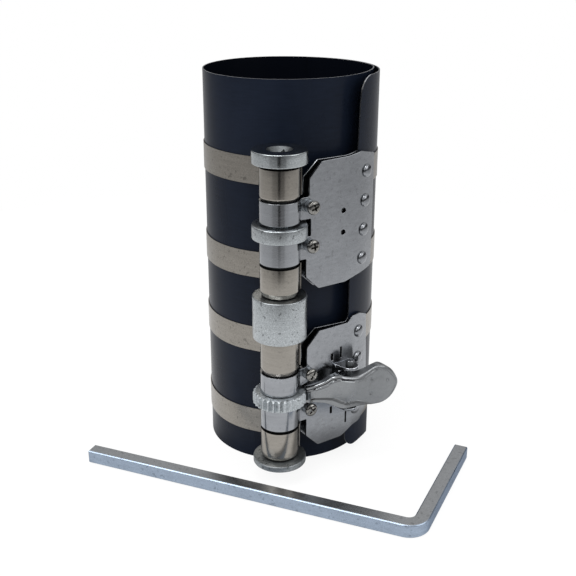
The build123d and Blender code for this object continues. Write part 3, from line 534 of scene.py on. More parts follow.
def screw_shape():
    """Pan head with a cross recess on a threaded shank."""
    tree = Shape("Cross_screw", {
        "Head radius": 2.85 * MM, "Head height": 1.95 * MM, "Shank radius": 1.3 * MM,
        "Shank length": 10.28 * MM, "Thread pitch": 0.5 * MM, "Thread depth": 0.28 * MM,
        "Recess across": 3.9 * MM, "Recess width": 0.9 * MM, "Recess depth": 1.3 * MM})
    g = tree.given
    pan = [(0.0, 1.0), (0.3, 0.99), (0.55, 0.95), (0.72, 0.88), (0.85, 0.78), (0.94, 0.66), (0.985, 0.53),
           (1.0, 0.4), (1.0, 0.1), (0.97, 0.0), (0.0, 0.0)]
    head = tree.turned(pan, g["Head radius"], g["Head height"])
    wings = []
    for turn in (0.0, pi / 2):
        block = tree.block()
        place = tree.position()
        level = tree.plus(place["Z"], 0.5)
        taper = tree.plus(tree.times(level, 0.5), 0.5)
        x = tree.times(tree.times(place["X"], taper), g["Recess across"])
        y = tree.times(tree.times(place["Y"], taper), g["Recess width"])
        foot = tree.minus(g["Head height"], g["Recess depth"])
        z = tree.plus(tree.times(level, tree.times(g["Recess depth"], 1.1)), foot)
        where = tree.vector(x, y, z)
        wing = tree.add("GeometryNodeSetPosition", {"Geometry": block, "Position": where}).outputs[0]
        turned = tree.add("GeometryNodeTransform", {"Geometry": wing, "Rotation": (0.0, 0.0, turn)})
        wings.append(turned.outputs[0])
    pit = tree.turned([(0.0, 1.0), (1.0, 1.0), (0.45, 0.0), (0.0, 0.0)], tree.times(g["Recess across"], 0.3),
                      tree.times(g["Recess depth"], 1.1), around=16,
                      lift=tree.minus(g["Head height"], g["Recess depth"]))
    head = tree.cut(head, *wings, pit)
    down = tree.times(g["Shank length"], -1.0)
    shank = tree.turned([rod_share(i) for i in range(THREAD_ROWS + 1)], g["Shank radius"], g["Shank length"],
                        around=20, lift=down, thread=(g["Thread pitch"], g["Thread depth"]))
    return tree.stood(head, shank)


def rod_share(row):
    """A rod's profile at a row: two rows close each end, and the wall is spread evenly between them."""
    ends = {0: (0.0, 0.0), 1: (0.8, 0.0), THREAD_ROWS - 1: (1.0, 1.0), THREAD_ROWS: (0.0, 1.0)}
    return ends.get(row) or (1.0, 0.03 + 0.97 * (row - 2) / (THREAD_ROWS - 3))


def ring_shape():
    """Turned spacer with broken edges and a bore."""
    tree = Shape("Spacer", {"Radius": 2.4 * MM, "Length": 2.3 * MM})
    g = tree.given
    wall = [(0.56, 0.0), (0.92, 0.0), (1.0, 0.09), (1.0, 0.3), (0.975, 0.36), (0.975, 0.64), (1.0, 0.7),
            (1.0, 0.91), (0.92, 1.0), (0.56, 1.0), (0.56, 0.0)]
    return tree.stood(tree.turned(wall, g["Radius"], g["Length"], around=40))


def nut_shape():
    """Hexagon nut: six flats, their corners cut back by a cone on both faces."""
    tree = Shape("Hexagon_nut", {"Radius": 2.9 * MM, "Thickness": 1.8 * MM, "Bore": 1.32 * MM})
    g = tree.given
    plain = [(0.0, 0.0), (1.0, 0.0), (1.0, 1.0), (0.0, 1.0)]
    prism = tree.turned(plain, g["Radius"], g["Thickness"], around=6)
    cone = tree.turned([(0.0, 0.0), (0.88, 0.0), (1.02, 0.16), (1.02, 0.84), (0.88, 1.0), (0.0, 1.0)],
                       g["Radius"], g["Thickness"])
    nut = tree.cut(prism, cone, operation="INTERSECT")
    hole = tree.turned(plain, g["Bore"], tree.times(g["Thickness"], 1.4), around=24,
                       lift=tree.times(g["Thickness"], -0.2))
    return tree.stood(tree.cut(nut, hole))


class COMPRESSOR_OT_rivets(bpy.types.Operator):
    """Rivet both brackets to the sleeve, and the clevis to the lower bracket"""
    bl_idname = "compressor.rivets"
    bl_label = "Rivets"

    def execute(self, context):
        sizes = context.scene.compressor_sizes
        shape = rivet_shape()
        for node, row in (("upper_rivets", UPPER_RIVETS), ("lower_rivets", LOWER_RIVETS)):
            ways = [(Vector((cos(radians(a)), sin(radians(a)), 0.0)), z) for a, z in row]
            places = [((way * RIVET_SEAT + UP * z) * MM, facing(way)) for way, z in ways]
            made = grown(node.title(), shape, places, {"Head radius": sizes.rivet_radius,
                                                       "Head height": sizes.rivet_height}, "Rivet_steel")
            stands_for(made, "frame", node)
        places = [(on_plate(CLEVIS_RIVET_ALONG, CLEVIS_SEAT, z), facing(OUT)) for z in CLEVIS_RIVETS]
        made = grown("Clevis_rivets", shape, places, {
            "Head radius": 2.1 * MM, "Head height": 0.95 * MM, "Grip": 2.16 * MM, "Tail radius": 1.9 * MM,
            "Tail height": 0.8 * MM}, "Rivet_steel")
        stands_for(made, "frame", "clevis_rivets")
        return {"FINISHED"}


def screw_row(node, shape, sizes, finish, out, way, turns):
    """One piece on the line of each screw, at a height over the plate."""
    places = [(on_plate(SCREW_ALONG, out, z), facing(way, turn)) for z, turn in zip(SCREW_HEIGHTS, turns)]
    stands_for(grown(node.capitalize(), shape, places, sizes, finish), "frame", node)


class COMPRESSOR_OT_screws(bpy.types.Operator):
    """Close the brackets with cross-headed screws, their spacers and nuts"""
    bl_idname = "compressor.screws"
    bl_label = "Screws, spacers and nuts"

    def execute(self, context):
        sizes = context.scene.compressor_sizes
        screw_row("clamp_screws", screw_shape(), {"Head radius": sizes.screw_radius}, "Screw_steel",
                  SCREW_SEAT, OUT, SCREW_TURNS)
        screw_row("screw_collars", ring_shape(), {"Radius": sizes.spacer_radius}, "Speckled_zinc",
                  SPACER_SEAT, OUT, (0.0,) * len(SCREW_HEIGHTS))
        screw_row("screw_nuts", nut_shape(), {}, "Screw_steel", NUT_SEAT, -OUT, SCREW_TURNS)
        return {"FINISHED"}


# Pieces turned round the spindle, in millimetres

SOCKET_ACROSS = 6.3
SOCKET_TURN = 22.0
STEM_RADIUS, STEM_FOOT = 5.5, 129.9
HEAD_RADIUS, HEAD_SPAN = 11.0, (138.7, 143.9)
SINK_RADIUS, SINK_DEPTH = 5.15, 2.0
THROAT_RADIUS = SOCKET_ACROSS / 2 + 0.45
ROLL_RADIUS = 8.05
ROLL_RIM = 0.9
ROLL_LAYERS, ROLL_GROOVE = 8, 0.12
ROUND_STEPS = 144
# Bottom and top of each roll, height of the taper at its foot, and how far its outer layers end below the top
ROLL_SPANS = ((124.6, 138.3, 1.2, 1.2), (84.8, 98.2, 2.0, 0.9), (50.7, 65.8, 2.0, 0.45),
              (10.7, 25.1, 1.2, 1.0))
# Node and finish, bottom, top, radius, rounding of the upper and the lower edge, and bore
COLLARS = (("collar_ring", "Speckled_zinc", 108.75, 114.35, 11.1, 0.7, 0.3, SPINDLE_BORE),
           ("coupling_collar", "Speckled_zinc", 66.2, 84.4, 11.1, 0.5, 0.3, SPINDLE_BORE),
           ("bottom_flange", "Flange_zinc", 7.7, 10.3, 11.3, 0.4, 0.4, 4.02))


def softened(profile, steps=4):
    """Profile points of radius and height, where a third number rounds the corner by that much."""
    made = []
    for i, point in enumerate(profile):
        here = Vector(point[:2])
        if len(point) == 2:
            made.append(here)
            continue
        before, after = Vector(profile[i - 1][:2]), Vector(profile[i + 1][:2])
        first = here + (before - here).normalized() * point[2]
        last = here + (after - here).normalized() * point[2]
        for k in range(steps + 1):
            t = k / steps
            made.append(first * (1 - t) ** 2 + here * (2 * t * (1 - t)) + last * t * t)
    return made


def turned_piece(name, profile, node, material, socket=False):
    """Grow a piece from its profile in millimetres and let it stand for its node on the spindle."""
    points = softened(profile)
    reach, low, high = max(p.x for p in points), min(p.y for p in points), max(p.y for p in points)
    tree = Shape(name, {"Radius": reach * MM, "Height": (high - low) * MM,
                        "Socket across": SOCKET_ACROSS * MM})
    g = tree.given
    shares = [(p.x / reach, (p.y - low) / (high - low)) for p in points]
    body = tree.turned(shares, g["Radius"], g["Height"], ROUND_STEPS)
    if socket:
        block = tree.block()
        size = tree.vector(g["Socket across"], g["Socket across"], tree.times(g["Height"], 3.0))
        body = tree.cut(body, tree.add("GeometryNodeTransform", {
            "Geometry": block, "Rotation": (0.0, 0.0, radians(SOCKET_TURN)), "Scale": size}).outputs[0])
    made = grown(name, tree.stood(body), on_spindle(low), {}, material)
    stands_for(made, "spindle", node)
    return made


def on_spindle(z):
    """One place for a piece that stands upright round the spindle."""
    return [(Vector((*SPINDLE, z)) * MM, (0.0, 0.0, 0.0))]


def roll_profile(bottom, top, taper, step):
    """Wound roll: its layers show as fine grooves in both ends."""
    pitch = (ROLL_RADIUS - ROLL_RIM - SPINDLE_BORE) / ROLL_LAYERS

    def end(level, way):
        line = []
        for i in range(ROLL_LAYERS):
            r = SPINDLE_BORE + pitch * i
            line += [(r + 0.02, level), (r + pitch - 0.06, level),
                     (r + pitch - 0.02, level + way * ROLL_GROOVE)]
        return line

    foot = end(bottom, 1.0)
    head = end(top, -1.0)[::-1]
    wall = [(ROLL_RADIUS - ROLL_RIM, bottom, 0.15), (ROLL_RADIUS, bottom + taper, 0.3),
            (ROLL_RADIUS, top - step, 0.05), (ROLL_RADIUS - ROLL_RIM - 0.2, top - step)]
    return foot + wall + head + [foot[0]]


def collar_profile(low, high, radius, top_corner, foot_corner, bore):
    """Plain collar with rounded edges."""
    return [(bore, low), (radius, low, foot_corner), (radius, high, top_corner), (bore, high), (bore, low)]


def second_finish(piece, material, chosen, axis=SPINDLE):
    """Another finish on the faces that are chosen by their middle's distance from an axis and height."""
    piece.data.materials.append(bpy.data.materials[material])
    for face in piece.data.polygons:
        x, y, z = face.center / MM
        if chosen(hypot(x - axis[0], y - axis[1]), z):
            face.material_index = len(piece.data.materials) - 1


class COMPRESSOR_OT_spindle(bpy.types.Operator):
    """Turn the pieces on the spindle: drive head with its socket, wound rolls, collars and flange"""
    bl_idname = "compressor.spindle"
    bl_label = "Spindle pieces"

    def execute(self, context):
        low, high = HEAD_SPAN
        head = turned_piece("Drive_head", [
            (0.0, STEM_FOOT), (STEM_RADIUS, STEM_FOOT, 0.3), (STEM_RADIUS, low), (HEAD_RADIUS, low, 0.3),
            (HEAD_RADIUS, high, 0.42), (SINK_RADIUS, high, 0.2), (THROAT_RADIUS, high - SINK_DEPTH, 0.1),
            (0.0, high - SINK_DEPTH)], "drive_head", "Head_steel", socket=True)
        rim = SINK_RADIUS + 0.05
        # Painted shade: the socket and the countersink are painted dark
        second_finish(head, "Socket_steel", lambda reach, z: reach < rim and z > STEM_FOOT + 0.1)
        # Painted shade: the head's stem and the underside of its rim are painted near black
        second_finish(head, "Oiled_steel", lambda reach, z: reach > rim and z < low + 0.02)
        for i, (bottom, top, taper, step) in enumerate(ROLL_SPANS):
            roll = turned_piece(f"Band_roll_{i + 1}", roll_profile(bottom, top, taper, step),
                                f"band_roll_{i + 1}", "Roll_steel")
            # Painted shade: both ends of each roll are painted near black, so the gaps above and below it
            # look dark
            second_finish(roll, "Oiled_steel", lambda reach, z, foot=bottom, end=top - step:
                          z > end - 0.03 or z < foot + ROLL_GROOVE + 0.02)
        for node, finish, *sizes in COLLARS:
            turned_piece(node.capitalize(), collar_profile(*sizes), node, finish)
        return {"FINISHED"}


# Folded sheet and bar

# Heights of the upper flap's cut corner, whose rounded edge gets a painted highlight, and how far the flap
# lies from the front face
FLAP_CORNER = (130.5, 137.3)
FLAP_OUT = (-9.0, -2.6)
KNUCKLE_REACH = 8.4
# Node, body, and how far its edges are rounded in millimetres
EDGED = (("upper_bracket", "frame", 0.14), ("lower_bracket", "frame", 0.12), ("pivot_clevis", "frame", 0.2),
         ("key", "key", 0.15))


def merged_copy(node):
    """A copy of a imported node's mesh with its loose triangles joined into clean faces."""
    source = NODES[node]
    work = bmesh.new()
    work.from_mesh(source.data)
    work.transform(source.matrix_world)
    bmesh.ops.remove_doubles(work, verts=work.verts, dist=SAME)
    bmesh.ops.dissolve_limit(work, angle_limit=radians(0.6), verts=work.verts, edges=work.edges)
    mesh = bpy.data.meshes.new(node.title())
    work.to_mesh(mesh)
    work.free()
    smooth_mesh(mesh)
    return mesh


class COMPRESSOR_OT_edges(bpy.types.Operator):
    """Round the edges of the brackets, the clevis and the key, with a painted highlight on the rounded edge
    of the flap's cut corner and on all the clevis's rounded edges
    """
    bl_idname = "compressor.edges"
    bl_label = "Rounded edges"

    def execute(self, context):
        for node, body, width in EDGED:
            rough = merged_copy(node)
            for finish in (FINISHES[node], "Sheet_edge", "Knuckle_sheet"):
                rough.materials.append(bpy.data.materials[finish])
            bevel = {"width": width * MM, "segments": 3, "limit_method": "ANGLE",
                     "angle_limit": radians(40.0), "use_clamp_overlap": False, "material": 1}
            mesh = applied(rough, ("BEVEL", bevel), ("WEIGHTED_NORMAL", {"keep_sharp": True}))
            for face in mesh.polygons:
                x, y, z = face.center / MM
                out = (face.center - PLATE_ORIGIN).dot(OUT) / MM
                if node.endswith("bracket"):
                    on_knuckle = hypot(x - SPINDLE[0], y - SPINDLE[1]) < KNUCKLE_REACH
                    # Painted highlight on the flap corner's rounded edge only; the clevis keeps it on all its
                    # rounded edges
                    painted_highlight = face.material_index == 1 and FLAP_OUT[0] < out < FLAP_OUT[1] \
                        and FLAP_CORNER[0] < z < FLAP_CORNER[1]
                    face.material_index = 2 if on_knuckle else int(painted_highlight)
                elif node == "key":
                    face.material_index = 0
            stands_for(linked(node.title(), mesh), body, node)
        return {"FINISHED"}


# Ratchet wheel, in millimetres

WHEEL_RADIUS = 11.3
WHEEL_FOOT = 35.6
WHEEL_WIDTH = 5.6
TOOTH_COUNT = 28
TOOTH_DEPTH = 1.2
PAWL_ANGLE = -4.5
PAWL_PLACE = 0.455


def wheel_shape():
    """Saw-toothed rim whose teeth run out into a chamfer at the top and the bottom."""
    tree = Shape("Ratchet_wheel", {"Radius": WHEEL_RADIUS * MM, "Width": WHEEL_WIDTH * MM,
                                   "Tooth depth": TOOTH_DEPTH * MM, "Teeth": TOOTH_COUNT})
    g = tree.given

    def teeth(tree, turn, level):
        first = (PAWL_ANGLE / 360 * TOOTH_COUNT - PAWL_PLACE) % 1.0
        place = tree.minus(tree.times(turn, g["Teeth"]), first)
        step = tree.maths("FRACT", tree.plus(place, 1.0))
        rise = tree.share(step, [0.0, 0.0, 0.13, 0.33, 0.56, 0.78, 0.96, 1.0, 0.0])
        root = tree.minus(g["Radius"], g["Tooth depth"])
        return tree.plus(root, tree.times(rise, g["Tooth depth"]))

    bore = SPINDLE_BORE / WHEEL_RADIUS
    rim = [(bore, 0.0), (0.85, 0.0), (0.91, 0.04), (0.96, 0.09), (0.99, 0.13), (1.0, 0.17), (1.0, 0.28),
           (1.0, 0.5), (1.0, 0.72), (1.0, 0.82), (0.98, 0.88), (0.95, 0.94), (0.91, 0.98), (0.88, 1.0),
           (bore, 1.0), (bore, 0.0)]
    return tree.stood(tree.turned(rim, g["Radius"], g["Width"], around=TOOTH_COUNT * 12, teeth=teeth))


class COMPRESSOR_OT_wheel(bpy.types.Operator):
    """Cut the ratchet wheel with its ring of saw teeth"""
    bl_idname = "compressor.wheel"
    bl_label = "Ratchet wheel"

    def execute(self, context):
        made = grown("Ratchet_wheel", wheel_shape(), on_spindle(WHEEL_FOOT), {}, "Wheel_zinc")
        # Painted shade: the wheel's underside is painted near black
        second_finish(made, "Oiled_steel", lambda reach, z: z < WHEEL_FOOT + 0.2)
        stands_for(made, "spindle", "ratchet_wheel")
        return {"FINISHED"}


# Release lever, in millimetres

# Along the plate, out from it, height above and below the middle, and how far back the folded edge goes
LEVER_STATIONS = [(-1.5, 3.1, 3.9, 3.3, 0.7), (2.0, 4.0, 4.3, 3.5, 1.5), (6.2, 5.7, 5.6, 4.3, 2.9),
                  (9.3, 6.9, 7.3, 5.7, 3.6), (12.5, 7.9, 7.8, 7.5, 4.0), (15.4, 9.0, 7.0, 8.4, 3.4),
                  (20.3, 10.6, 6.4, 8.0, 4.6), (24.3, 11.7, 8.2, 7.5, 7.4), (27.7, 12.7, 10.1, 7.5, 9.0),
                  (31.2, 13.5, 10.0, 7.2, 8.8), (34.9, 13.9, 7.7, 5.6, 9.4), (37.6, 14.1, 4.1, 2.6, 10.4),
                  (38.8, 14.1, 0.7, -0.7, 11.0)]
# Along, height above the middle, out, and back
LEVER_TIP = (38.95, 0.7, 14.1, 11.0)
LEVER_STEPS = 14
LEVER_PROUD = 0.25
LEVER_SHEET = 1.2
LEVER_EYES = (-8.15, 5.3)
EYE_RADIUS = 2.6
PAWL_HALF = 2.2
NOSE_START, NOSE_END = -1.5, 4.0
# Where the pad's folded edge has gone over into the arm's, which is wider by a share
ARM_RUN = (26.0, 20.0)
ARM_WIDER = 0.45
LIP_HEIGHT = 5.6
PAD_CENTRE = (29.6, 1.3)
# Along the plate and above the lever's middle: the faint round step on the pad and its radius, three dents
PAD_DISC = (29.4, 0.3, 4.8)
LEVER_DENTS = ((25.65, 4.95), (33.08, 3.35), (25.44, -2.16))
# The line pressed in beside the folded edge: how far in from it, half its width, and its depth
RIM_GROOVE = (0.4, 0.28, 0.26)
# It is shallower on the pad, and shows on the lower side near the tip only
PAD_RUN, TIP_RUN = (19.0, 24.0), (34.0, 38.0)
# Width of the fine rows beside the folded edge, and how many rows are fine and coarse
RIM_ROWS = (1.2, 8, 16)


def spline(points, steps):
    """Smooth open curve through points of any dimension, evenly divided between them."""
    ends = [[2 * a - b for a, b in zip(points[0], points[1])]] + list(points) + \
           [[2 * a - b for a, b in zip(points[-1], points[-2])]]
    made = []
    for p, q, r, s in zip(ends, ends[1:], ends[2:], ends[3:]):
        for i in range(steps):
            t = i / steps
            made.append([0.5 * (2 * b + (c - a) * t + (2 * a - 5 * b + 4 * c - d) * t * t
                                + (3 * b - a - 3 * c + d) * t ** 3) for a, b, c, d in zip(p, q, r, s)])
    return made + [list(points[-1])]


def progress(value, start, end):
    """Nought before start and one after end, and even in between."""
    return min(1.0, max(0.0, (value - start) / (end - start)))


def mix(first, second, share):
    return first + (second - first) * share


def pressed(a, h):
    """How far the pad's face stands out at a place, from its round step and its dents."""
    step = progress(PAD_DISC[2] + 0.25 - hypot(a - PAD_DISC[0], h - PAD_DISC[1]), 0.0, 0.5)
    return 0.1 * step * step * (3 - 2 * step) - sum(0.5 * exp(-((a - x) ** 2 + (h - y) ** 2) / 0.22)
                                                   for x, y in LEVER_DENTS)


# Sections of the folded edge, from its side to the face: how far in from the outline, and out from the face
FOLD_RADIUS = 1.1
FOLD_TURNS = [radians(15 * k) for k in range(7)]
ROUND_FOLD = [(FOLD_RADIUS * (1 - cos(t)), FOLD_RADIUS * (sin(t) - 1)) for t in FOLD_TURNS]
LIP_FOLD = [(0.0, -2.1), (0.15, -1.8), (0.5, -1.65), (1.6, -1.55), (2.3, -1.15), (3.2, -0.35), (3.9, 0.0)]


def lever_skin():
    """Outer skin of the stamping: folded edges, their round folds, and the face, ring by ring inwards."""
    upper = [(a, up + LEVER_PROUD, o, b) for a, o, up, low, b in LEVER_STATIONS[:-1]] + [LEVER_TIP]
    lower = [(a, -low - LEVER_PROUD, o, b) for a, o, up, low, b in LEVER_STATIONS[-2::-1]]
    outline = spline(upper + lower, LEVER_STEPS)
    faces = spline([row[:2] for row in LEVER_STATIONS], LEVER_STEPS)
    half = LEVER_STEPS * (len(LEVER_STATIONS) - 1) + 1

    def face_out(a):
        for (a0, o0), (a1, o1) in zip(faces, faces[1:]):
            if a <= a1:
                return mix(o0, o1, max(0.0, (a - a0) / max(a1 - a0, 1e-6)))
        return faces[-1][1]

    rings = []
    for i, (a, h, o, b) in enumerate(outline):
        ahead, behind = outline[min(i + 1, len(outline) - 1)], outline[max(i - 1, 0)]
        way = Vector((ahead[0] - behind[0], ahead[1] - behind[1])).normalized()
        inward = Vector((way.y, -way.x))
        low_edge = i >= half
        arm = progress(a, *ARM_RUN)
        if low_edge:
            size = min(1.0, abs(h) / LIP_HEIGHT)
            fold = [(mix(q, size * r, arm), mix(s, size * t, arm))
                    for (q, s), (r, t) in zip(ROUND_FOLD, LIP_FOLD)]
        else:
            fold = [((1 + ARM_WIDER * arm) * run, (1 + ARM_WIDER * arm) * drop) for run, drop in ROUND_FOLD]
        spine = Vector((min(max(a, NOSE_START), PAD_CENTRE[0]),
                        PAD_CENTRE[1] * progress(a, 0.0, PAD_CENTRE[0])))
        line = [(a, h, b + (o + fold[0][1] - b) * k / 4) for k in range(5)]
        for run, drop in fold[1:]:
            p = Vector((a, h)) + inward * run
            line.append((p.x, p.y, o + drop))
        start = Vector((a, h)) + inward * fold[-1][0]
        if a < NOSE_END:
            start.x = a
        reach = (spine - start).length
        width, fine, coarse = RIM_ROWS
        near = min(width, 0.4 * reach)
        steps = [near * k / fine for k in range(1, fine + 1)]
        steps += [near + (reach - near) * k / coarse for k in range(1, coarse + 1)]
        centre, half_width, depth = RIM_GROOVE
        depth *= 0.5 * progress(a, *TIP_RUN) if low_edge else 1.0 - 0.3 * progress(a, *PAD_RUN)
        for step in steps:
            p = start.lerp(spine, step / max(reach, 1e-6))
            sunk = depth * max(0.0, 1.0 - ((step - centre) / half_width) ** 2)
            line.append((p.x, p.y, face_out(p.x) + pressed(p.x, p.y) - sunk))
        rings.append(line)
    return rings


def lever_mesh():
    rings = lever_skin()
    columns = len(rings[0])
    verts = [on_plate(a, out, LEVER_MID + z) for line in rings for a, z, out in line]
    faces = [(p, p + 1, p + columns + 1, p + columns)
             for i in range(len(rings) - 1) for p in range(i * columns, (i + 1) * columns - 1)]
    mesh = bpy.data.meshes.new("Ratchet_lever")
    mesh.from_pydata([tuple(v) for v in verts], [], faces)
    work = bmesh.new()
    work.from_mesh(mesh)
    bmesh.ops.remove_doubles(work, verts=work.verts, dist=0.00003)
    bmesh.ops.recalc_face_normals(work, faces=work.faces)
    centre = on_plate(15.0, 0.0, LEVER_MID)
    middle = max(work.faces, key=lambda f: (f.calc_center_median() - centre).dot(OUT))
    if middle.normal.dot(OUT) < 0:
        bmesh.ops.reverse_faces(work, faces=work.faces)
    work.to_mesh(mesh)
    work.free()
    return mesh


def plan_plate(outline, low, high):
    """Flat tab between two heights, from a closed line in the brackets' own directions."""
    mesh = bpy.data.meshes.new("plate")
    verts = [tuple(on_plate(a, o, z)) for z in (low, high) for a, o in outline]
    n = len(outline)
    sides = [(i, (i + 1) % n, n + (i + 1) % n, n + i) for i in range(n)]
    mesh.from_pydata(verts, [], [tuple(range(n))[::-1], tuple(range(n, 2 * n))] + sides)
    return mesh


def join_meshes(name, meshes):
    work = bmesh.new()
    for mesh in meshes:
        work.from_mesh(mesh)
    made = bpy.data.meshes.new(name)
    work.to_mesh(made)
    work.free()
    return made


def applied(mesh, *modifiers):
    """The mesh with modifiers worked in."""
    holder = bpy.data.objects.new("holder", mesh)
    bpy.context.scene.collection.objects.link(holder)
    for kind, settings in modifiers:
        modifier = holder.modifiers.new(kind.title(), kind)
        for key, value in settings.items():
            setattr(modifier, key, value)
    return settled(holder)


def eye_outline():
    """Round eye of the lever with the tongue that joins it to the folded edge."""
    a0, o0 = PIVOT
    turns = [radians(180 + 180 * i / 20) for i in range(21)]
    low = [(a0 + EYE_RADIUS * cos(t), o0 + EYE_RADIUS * sin(t)) for t in turns]
    return low + [(a0 + EYE_RADIUS, o0 + 3.9), (a0 - EYE_RADIUS, o0 + 2.9)]


class COMPRESSOR_OT_lever(bpy.types.Operator):
    """Stamp the release lever: a folded channel with a pad, two pivot eyes and a pawl"""
    bl_idname = "compressor.lever"
    bl_label = "Release lever"

    def execute(self, context):
        shell = applied(lever_mesh(), ("SOLIDIFY", {"thickness": LEVER_SHEET * MM, "offset": -1.0}))
        eyes = [plan_plate(eye_outline(), LEVER_MID + z, LEVER_MID + z + LEVER_SHEET) for z in LEVER_EYES]
        pawl = plan_plate(pawl_outline(), LEVER_MID - PAWL_HALF, LEVER_MID + PAWL_HALF)
        mesh = join_meshes("Ratchet_lever", [shell, *eyes, pawl])
        smooth_mesh(mesh, radians(40.0))
        made = linked("Ratchet_lever", mesh)
        mesh.materials.append(bpy.data.materials["Lever_plating"])
        stands_for(made, "lever", "ratchet_lever")
        return {"FINISHED"}


def pawl_outline():
    """Wedge that drops between two teeth, in the brackets' own directions."""
    half = 0.2 * 180 / TOOTH_COUNT
    points = [(10.9, -half), (10.9, half), (11.6, half + 0.8), (13.2, half + 2.2), (13.2, -half - 4.0),
              (11.6, -half)]
    made = []
    for reach, angle in points:
        t = radians(PAWL_ANGLE + angle)
        spot = Vector((SPINDLE[0] + reach * cos(t), SPINDLE[1] + reach * sin(t), 0.0)) * MM - PLATE_ORIGIN
        made.append((spot.dot(ALONG) / MM, spot.dot(OUT) / MM))
    return made


# Pivot, in millimetres

PIN_RADIUS, PIN_LENGTH = 2.2, 24.0
# The pin's hollow end and its body below the top ring get painted shade: the hollow's radius, and how far up
# the pin that ring begins
PIN_HOLLOW = (1.05, 23.2)
WIRE_RADIUS = 0.4
SPRING_RADIUS, SPRING_PITCH = 2.35, 1.3
# Directions of the two legs, as they leave the coil
SPRING_TURNS = (104.0, -115.0)
# How far out the points of each leg lie
LEAD_POINTS, TAIL_POINTS = (4.0, 2.0), (2.6, 5.3)


def wire_shape():
    """Round wire along a path."""
    tree = Shape("Wire", {"Wire radius": WIRE_RADIUS * MM})
    path = tree.add("GeometryNodeMeshToCurve", {"Mesh": tree.given["Geometry"]}).outputs[0]
    section = tree.add("GeometryNodeCurvePrimitiveCircle", {"Resolution": 14,
                                                            "Radius": tree.given["Wire radius"]})
    swept = tree.add("GeometryNodeCurveToMesh", {"Curve": path, "Profile Curve": section.outputs[0],
                                                 "Fill Caps": True})
    return tree.finish(swept.outputs[0])


def spring_path():
    """Four close turns round the pin, one leg on the clevis and one behind the lever's face."""
    first, last = SPRING_TURNS
    turns = 4 + (last - first + 360) / 360
    base = LEVER_MID - SPRING_PITCH * turns / 2
    steps = int(turns * 40)
    start, end = radians(first), radians(first) + 2 * pi * turns
    points = []
    for i in range(steps + 1):
        t = start + 2 * pi * turns * i / steps
        points.append((PIVOT[0] + SPRING_RADIUS * cos(t), PIVOT[1] - SPRING_RADIUS * sin(t),
                       base + SPRING_PITCH * turns * i / steps))
    (x0, y0, z0), (x1, y1, z1) = points[0], points[-1]
    lead = [(x0 + d * sin(start), y0 + d * cos(start), z0) for d in LEAD_POINTS]
    tail = [(x1 - d * sin(end), y1 - d * cos(end), z1) for d in TAIL_POINTS]
    return lead + points + tail


def pin_shape():
    """Pin with a turned head at the foot and a domed, upset end on top."""
    tree = Shape("Pivot_pin", {"Radius": PIN_RADIUS * MM, "Length": PIN_LENGTH * MM})
    profile = [(0.0, 0.0), (0.8, 0.0), (0.95, 0.008), (1.0, 0.02), (1.0, 0.045), (0.66, 0.046), (0.66, 0.895),
               (0.84, 0.897), (0.84, 0.975), (0.8, 0.99), (0.72, 1.0), (0.62, 0.998), (0.56, 0.985),
               (0.5, 0.955), (0.3, 0.945), (0.0, 0.945)]
    return tree.stood(tree.turned(profile, tree.given["Radius"], tree.given["Length"]))


class COMPRESSOR_OT_pivot(bpy.types.Operator):
    """Hang the lever: its pivot pin and the torsion spring round it"""
    bl_idname = "compressor.pivot"
    bl_label = "Pivot pin and spring"

    def execute(self, context):
        foot = on_plate(*PIVOT, PIN_FOOT)
        pin = grown("Pivot_pin", pin_shape(), [(foot, (0.0, 0.0, 0.0))], {}, "Rivet_steel")
        hollow, ring = PIN_HOLLOW
        # Painted shade on the pin's hollow and on the pin below its top ring
        second_finish(pin, "Socket_steel", lambda reach, z: reach < hollow or z < PIN_FOOT + ring,
                      tuple(foot / MM))
        stands_for(pin, "frame", "pivot_pin")
        path = [tuple(on_plate(*p)) for p in spring_path()]
        base = bpy.data.meshes.new("Spring_path")
        base.from_pydata(path, [(i, i + 1) for i in range(len(path) - 1)], [])
        stands_for(grown_on("Lever_spring", wire_shape(), base, {}, "Spring_wire"), "frame", "lever_spring")
        return {"FINISHED"}


# Studio, in metres

CAMERA_PLACE = (0.0, -0.39204, 0.22365)
CAMERA_PITCH = 0.375196
CAMERA_YAW = 0.0065943
CAMERA_ROLL = 0.0029687
FOCAL_PIXELS = 926.90
IMAGE_PIXELS = 576.0
SENSOR = 36.0
PAPER_RADIUS = 0.42
PAPER_DROP = 0.0003
LAMP_TARGET = (0.0, 0.0, 0.08)
# Place, size and watts
LAMPS = {"Key_light": ((-0.9, -0.7, 1.1), 0.9, 9.0), "Fill_light": ((1.1, -0.5, 0.8), 0.9, 4.0),
         "Top_light": ((-0.1, -0.35, 1.3), 0.35, 3.0)}


def camera_matrix():
    forward = Vector((sin(CAMERA_YAW) * cos(CAMERA_PITCH), cos(CAMERA_YAW) * cos(CAMERA_PITCH),
                      -sin(CAMERA_PITCH)))
    right = Vector((cos(CAMERA_YAW), -sin(CAMERA_YAW), 0.0))
    above = right.cross(forward)
    c, s = cos(CAMERA_ROLL), sin(CAMERA_ROLL)
    side, top = c * right + s * above, c * above - s * right
    rows = Matrix((side, top, -forward)).transposed().to_4x4()
    return Matrix.Translation(CAMERA_PLACE) @ rows


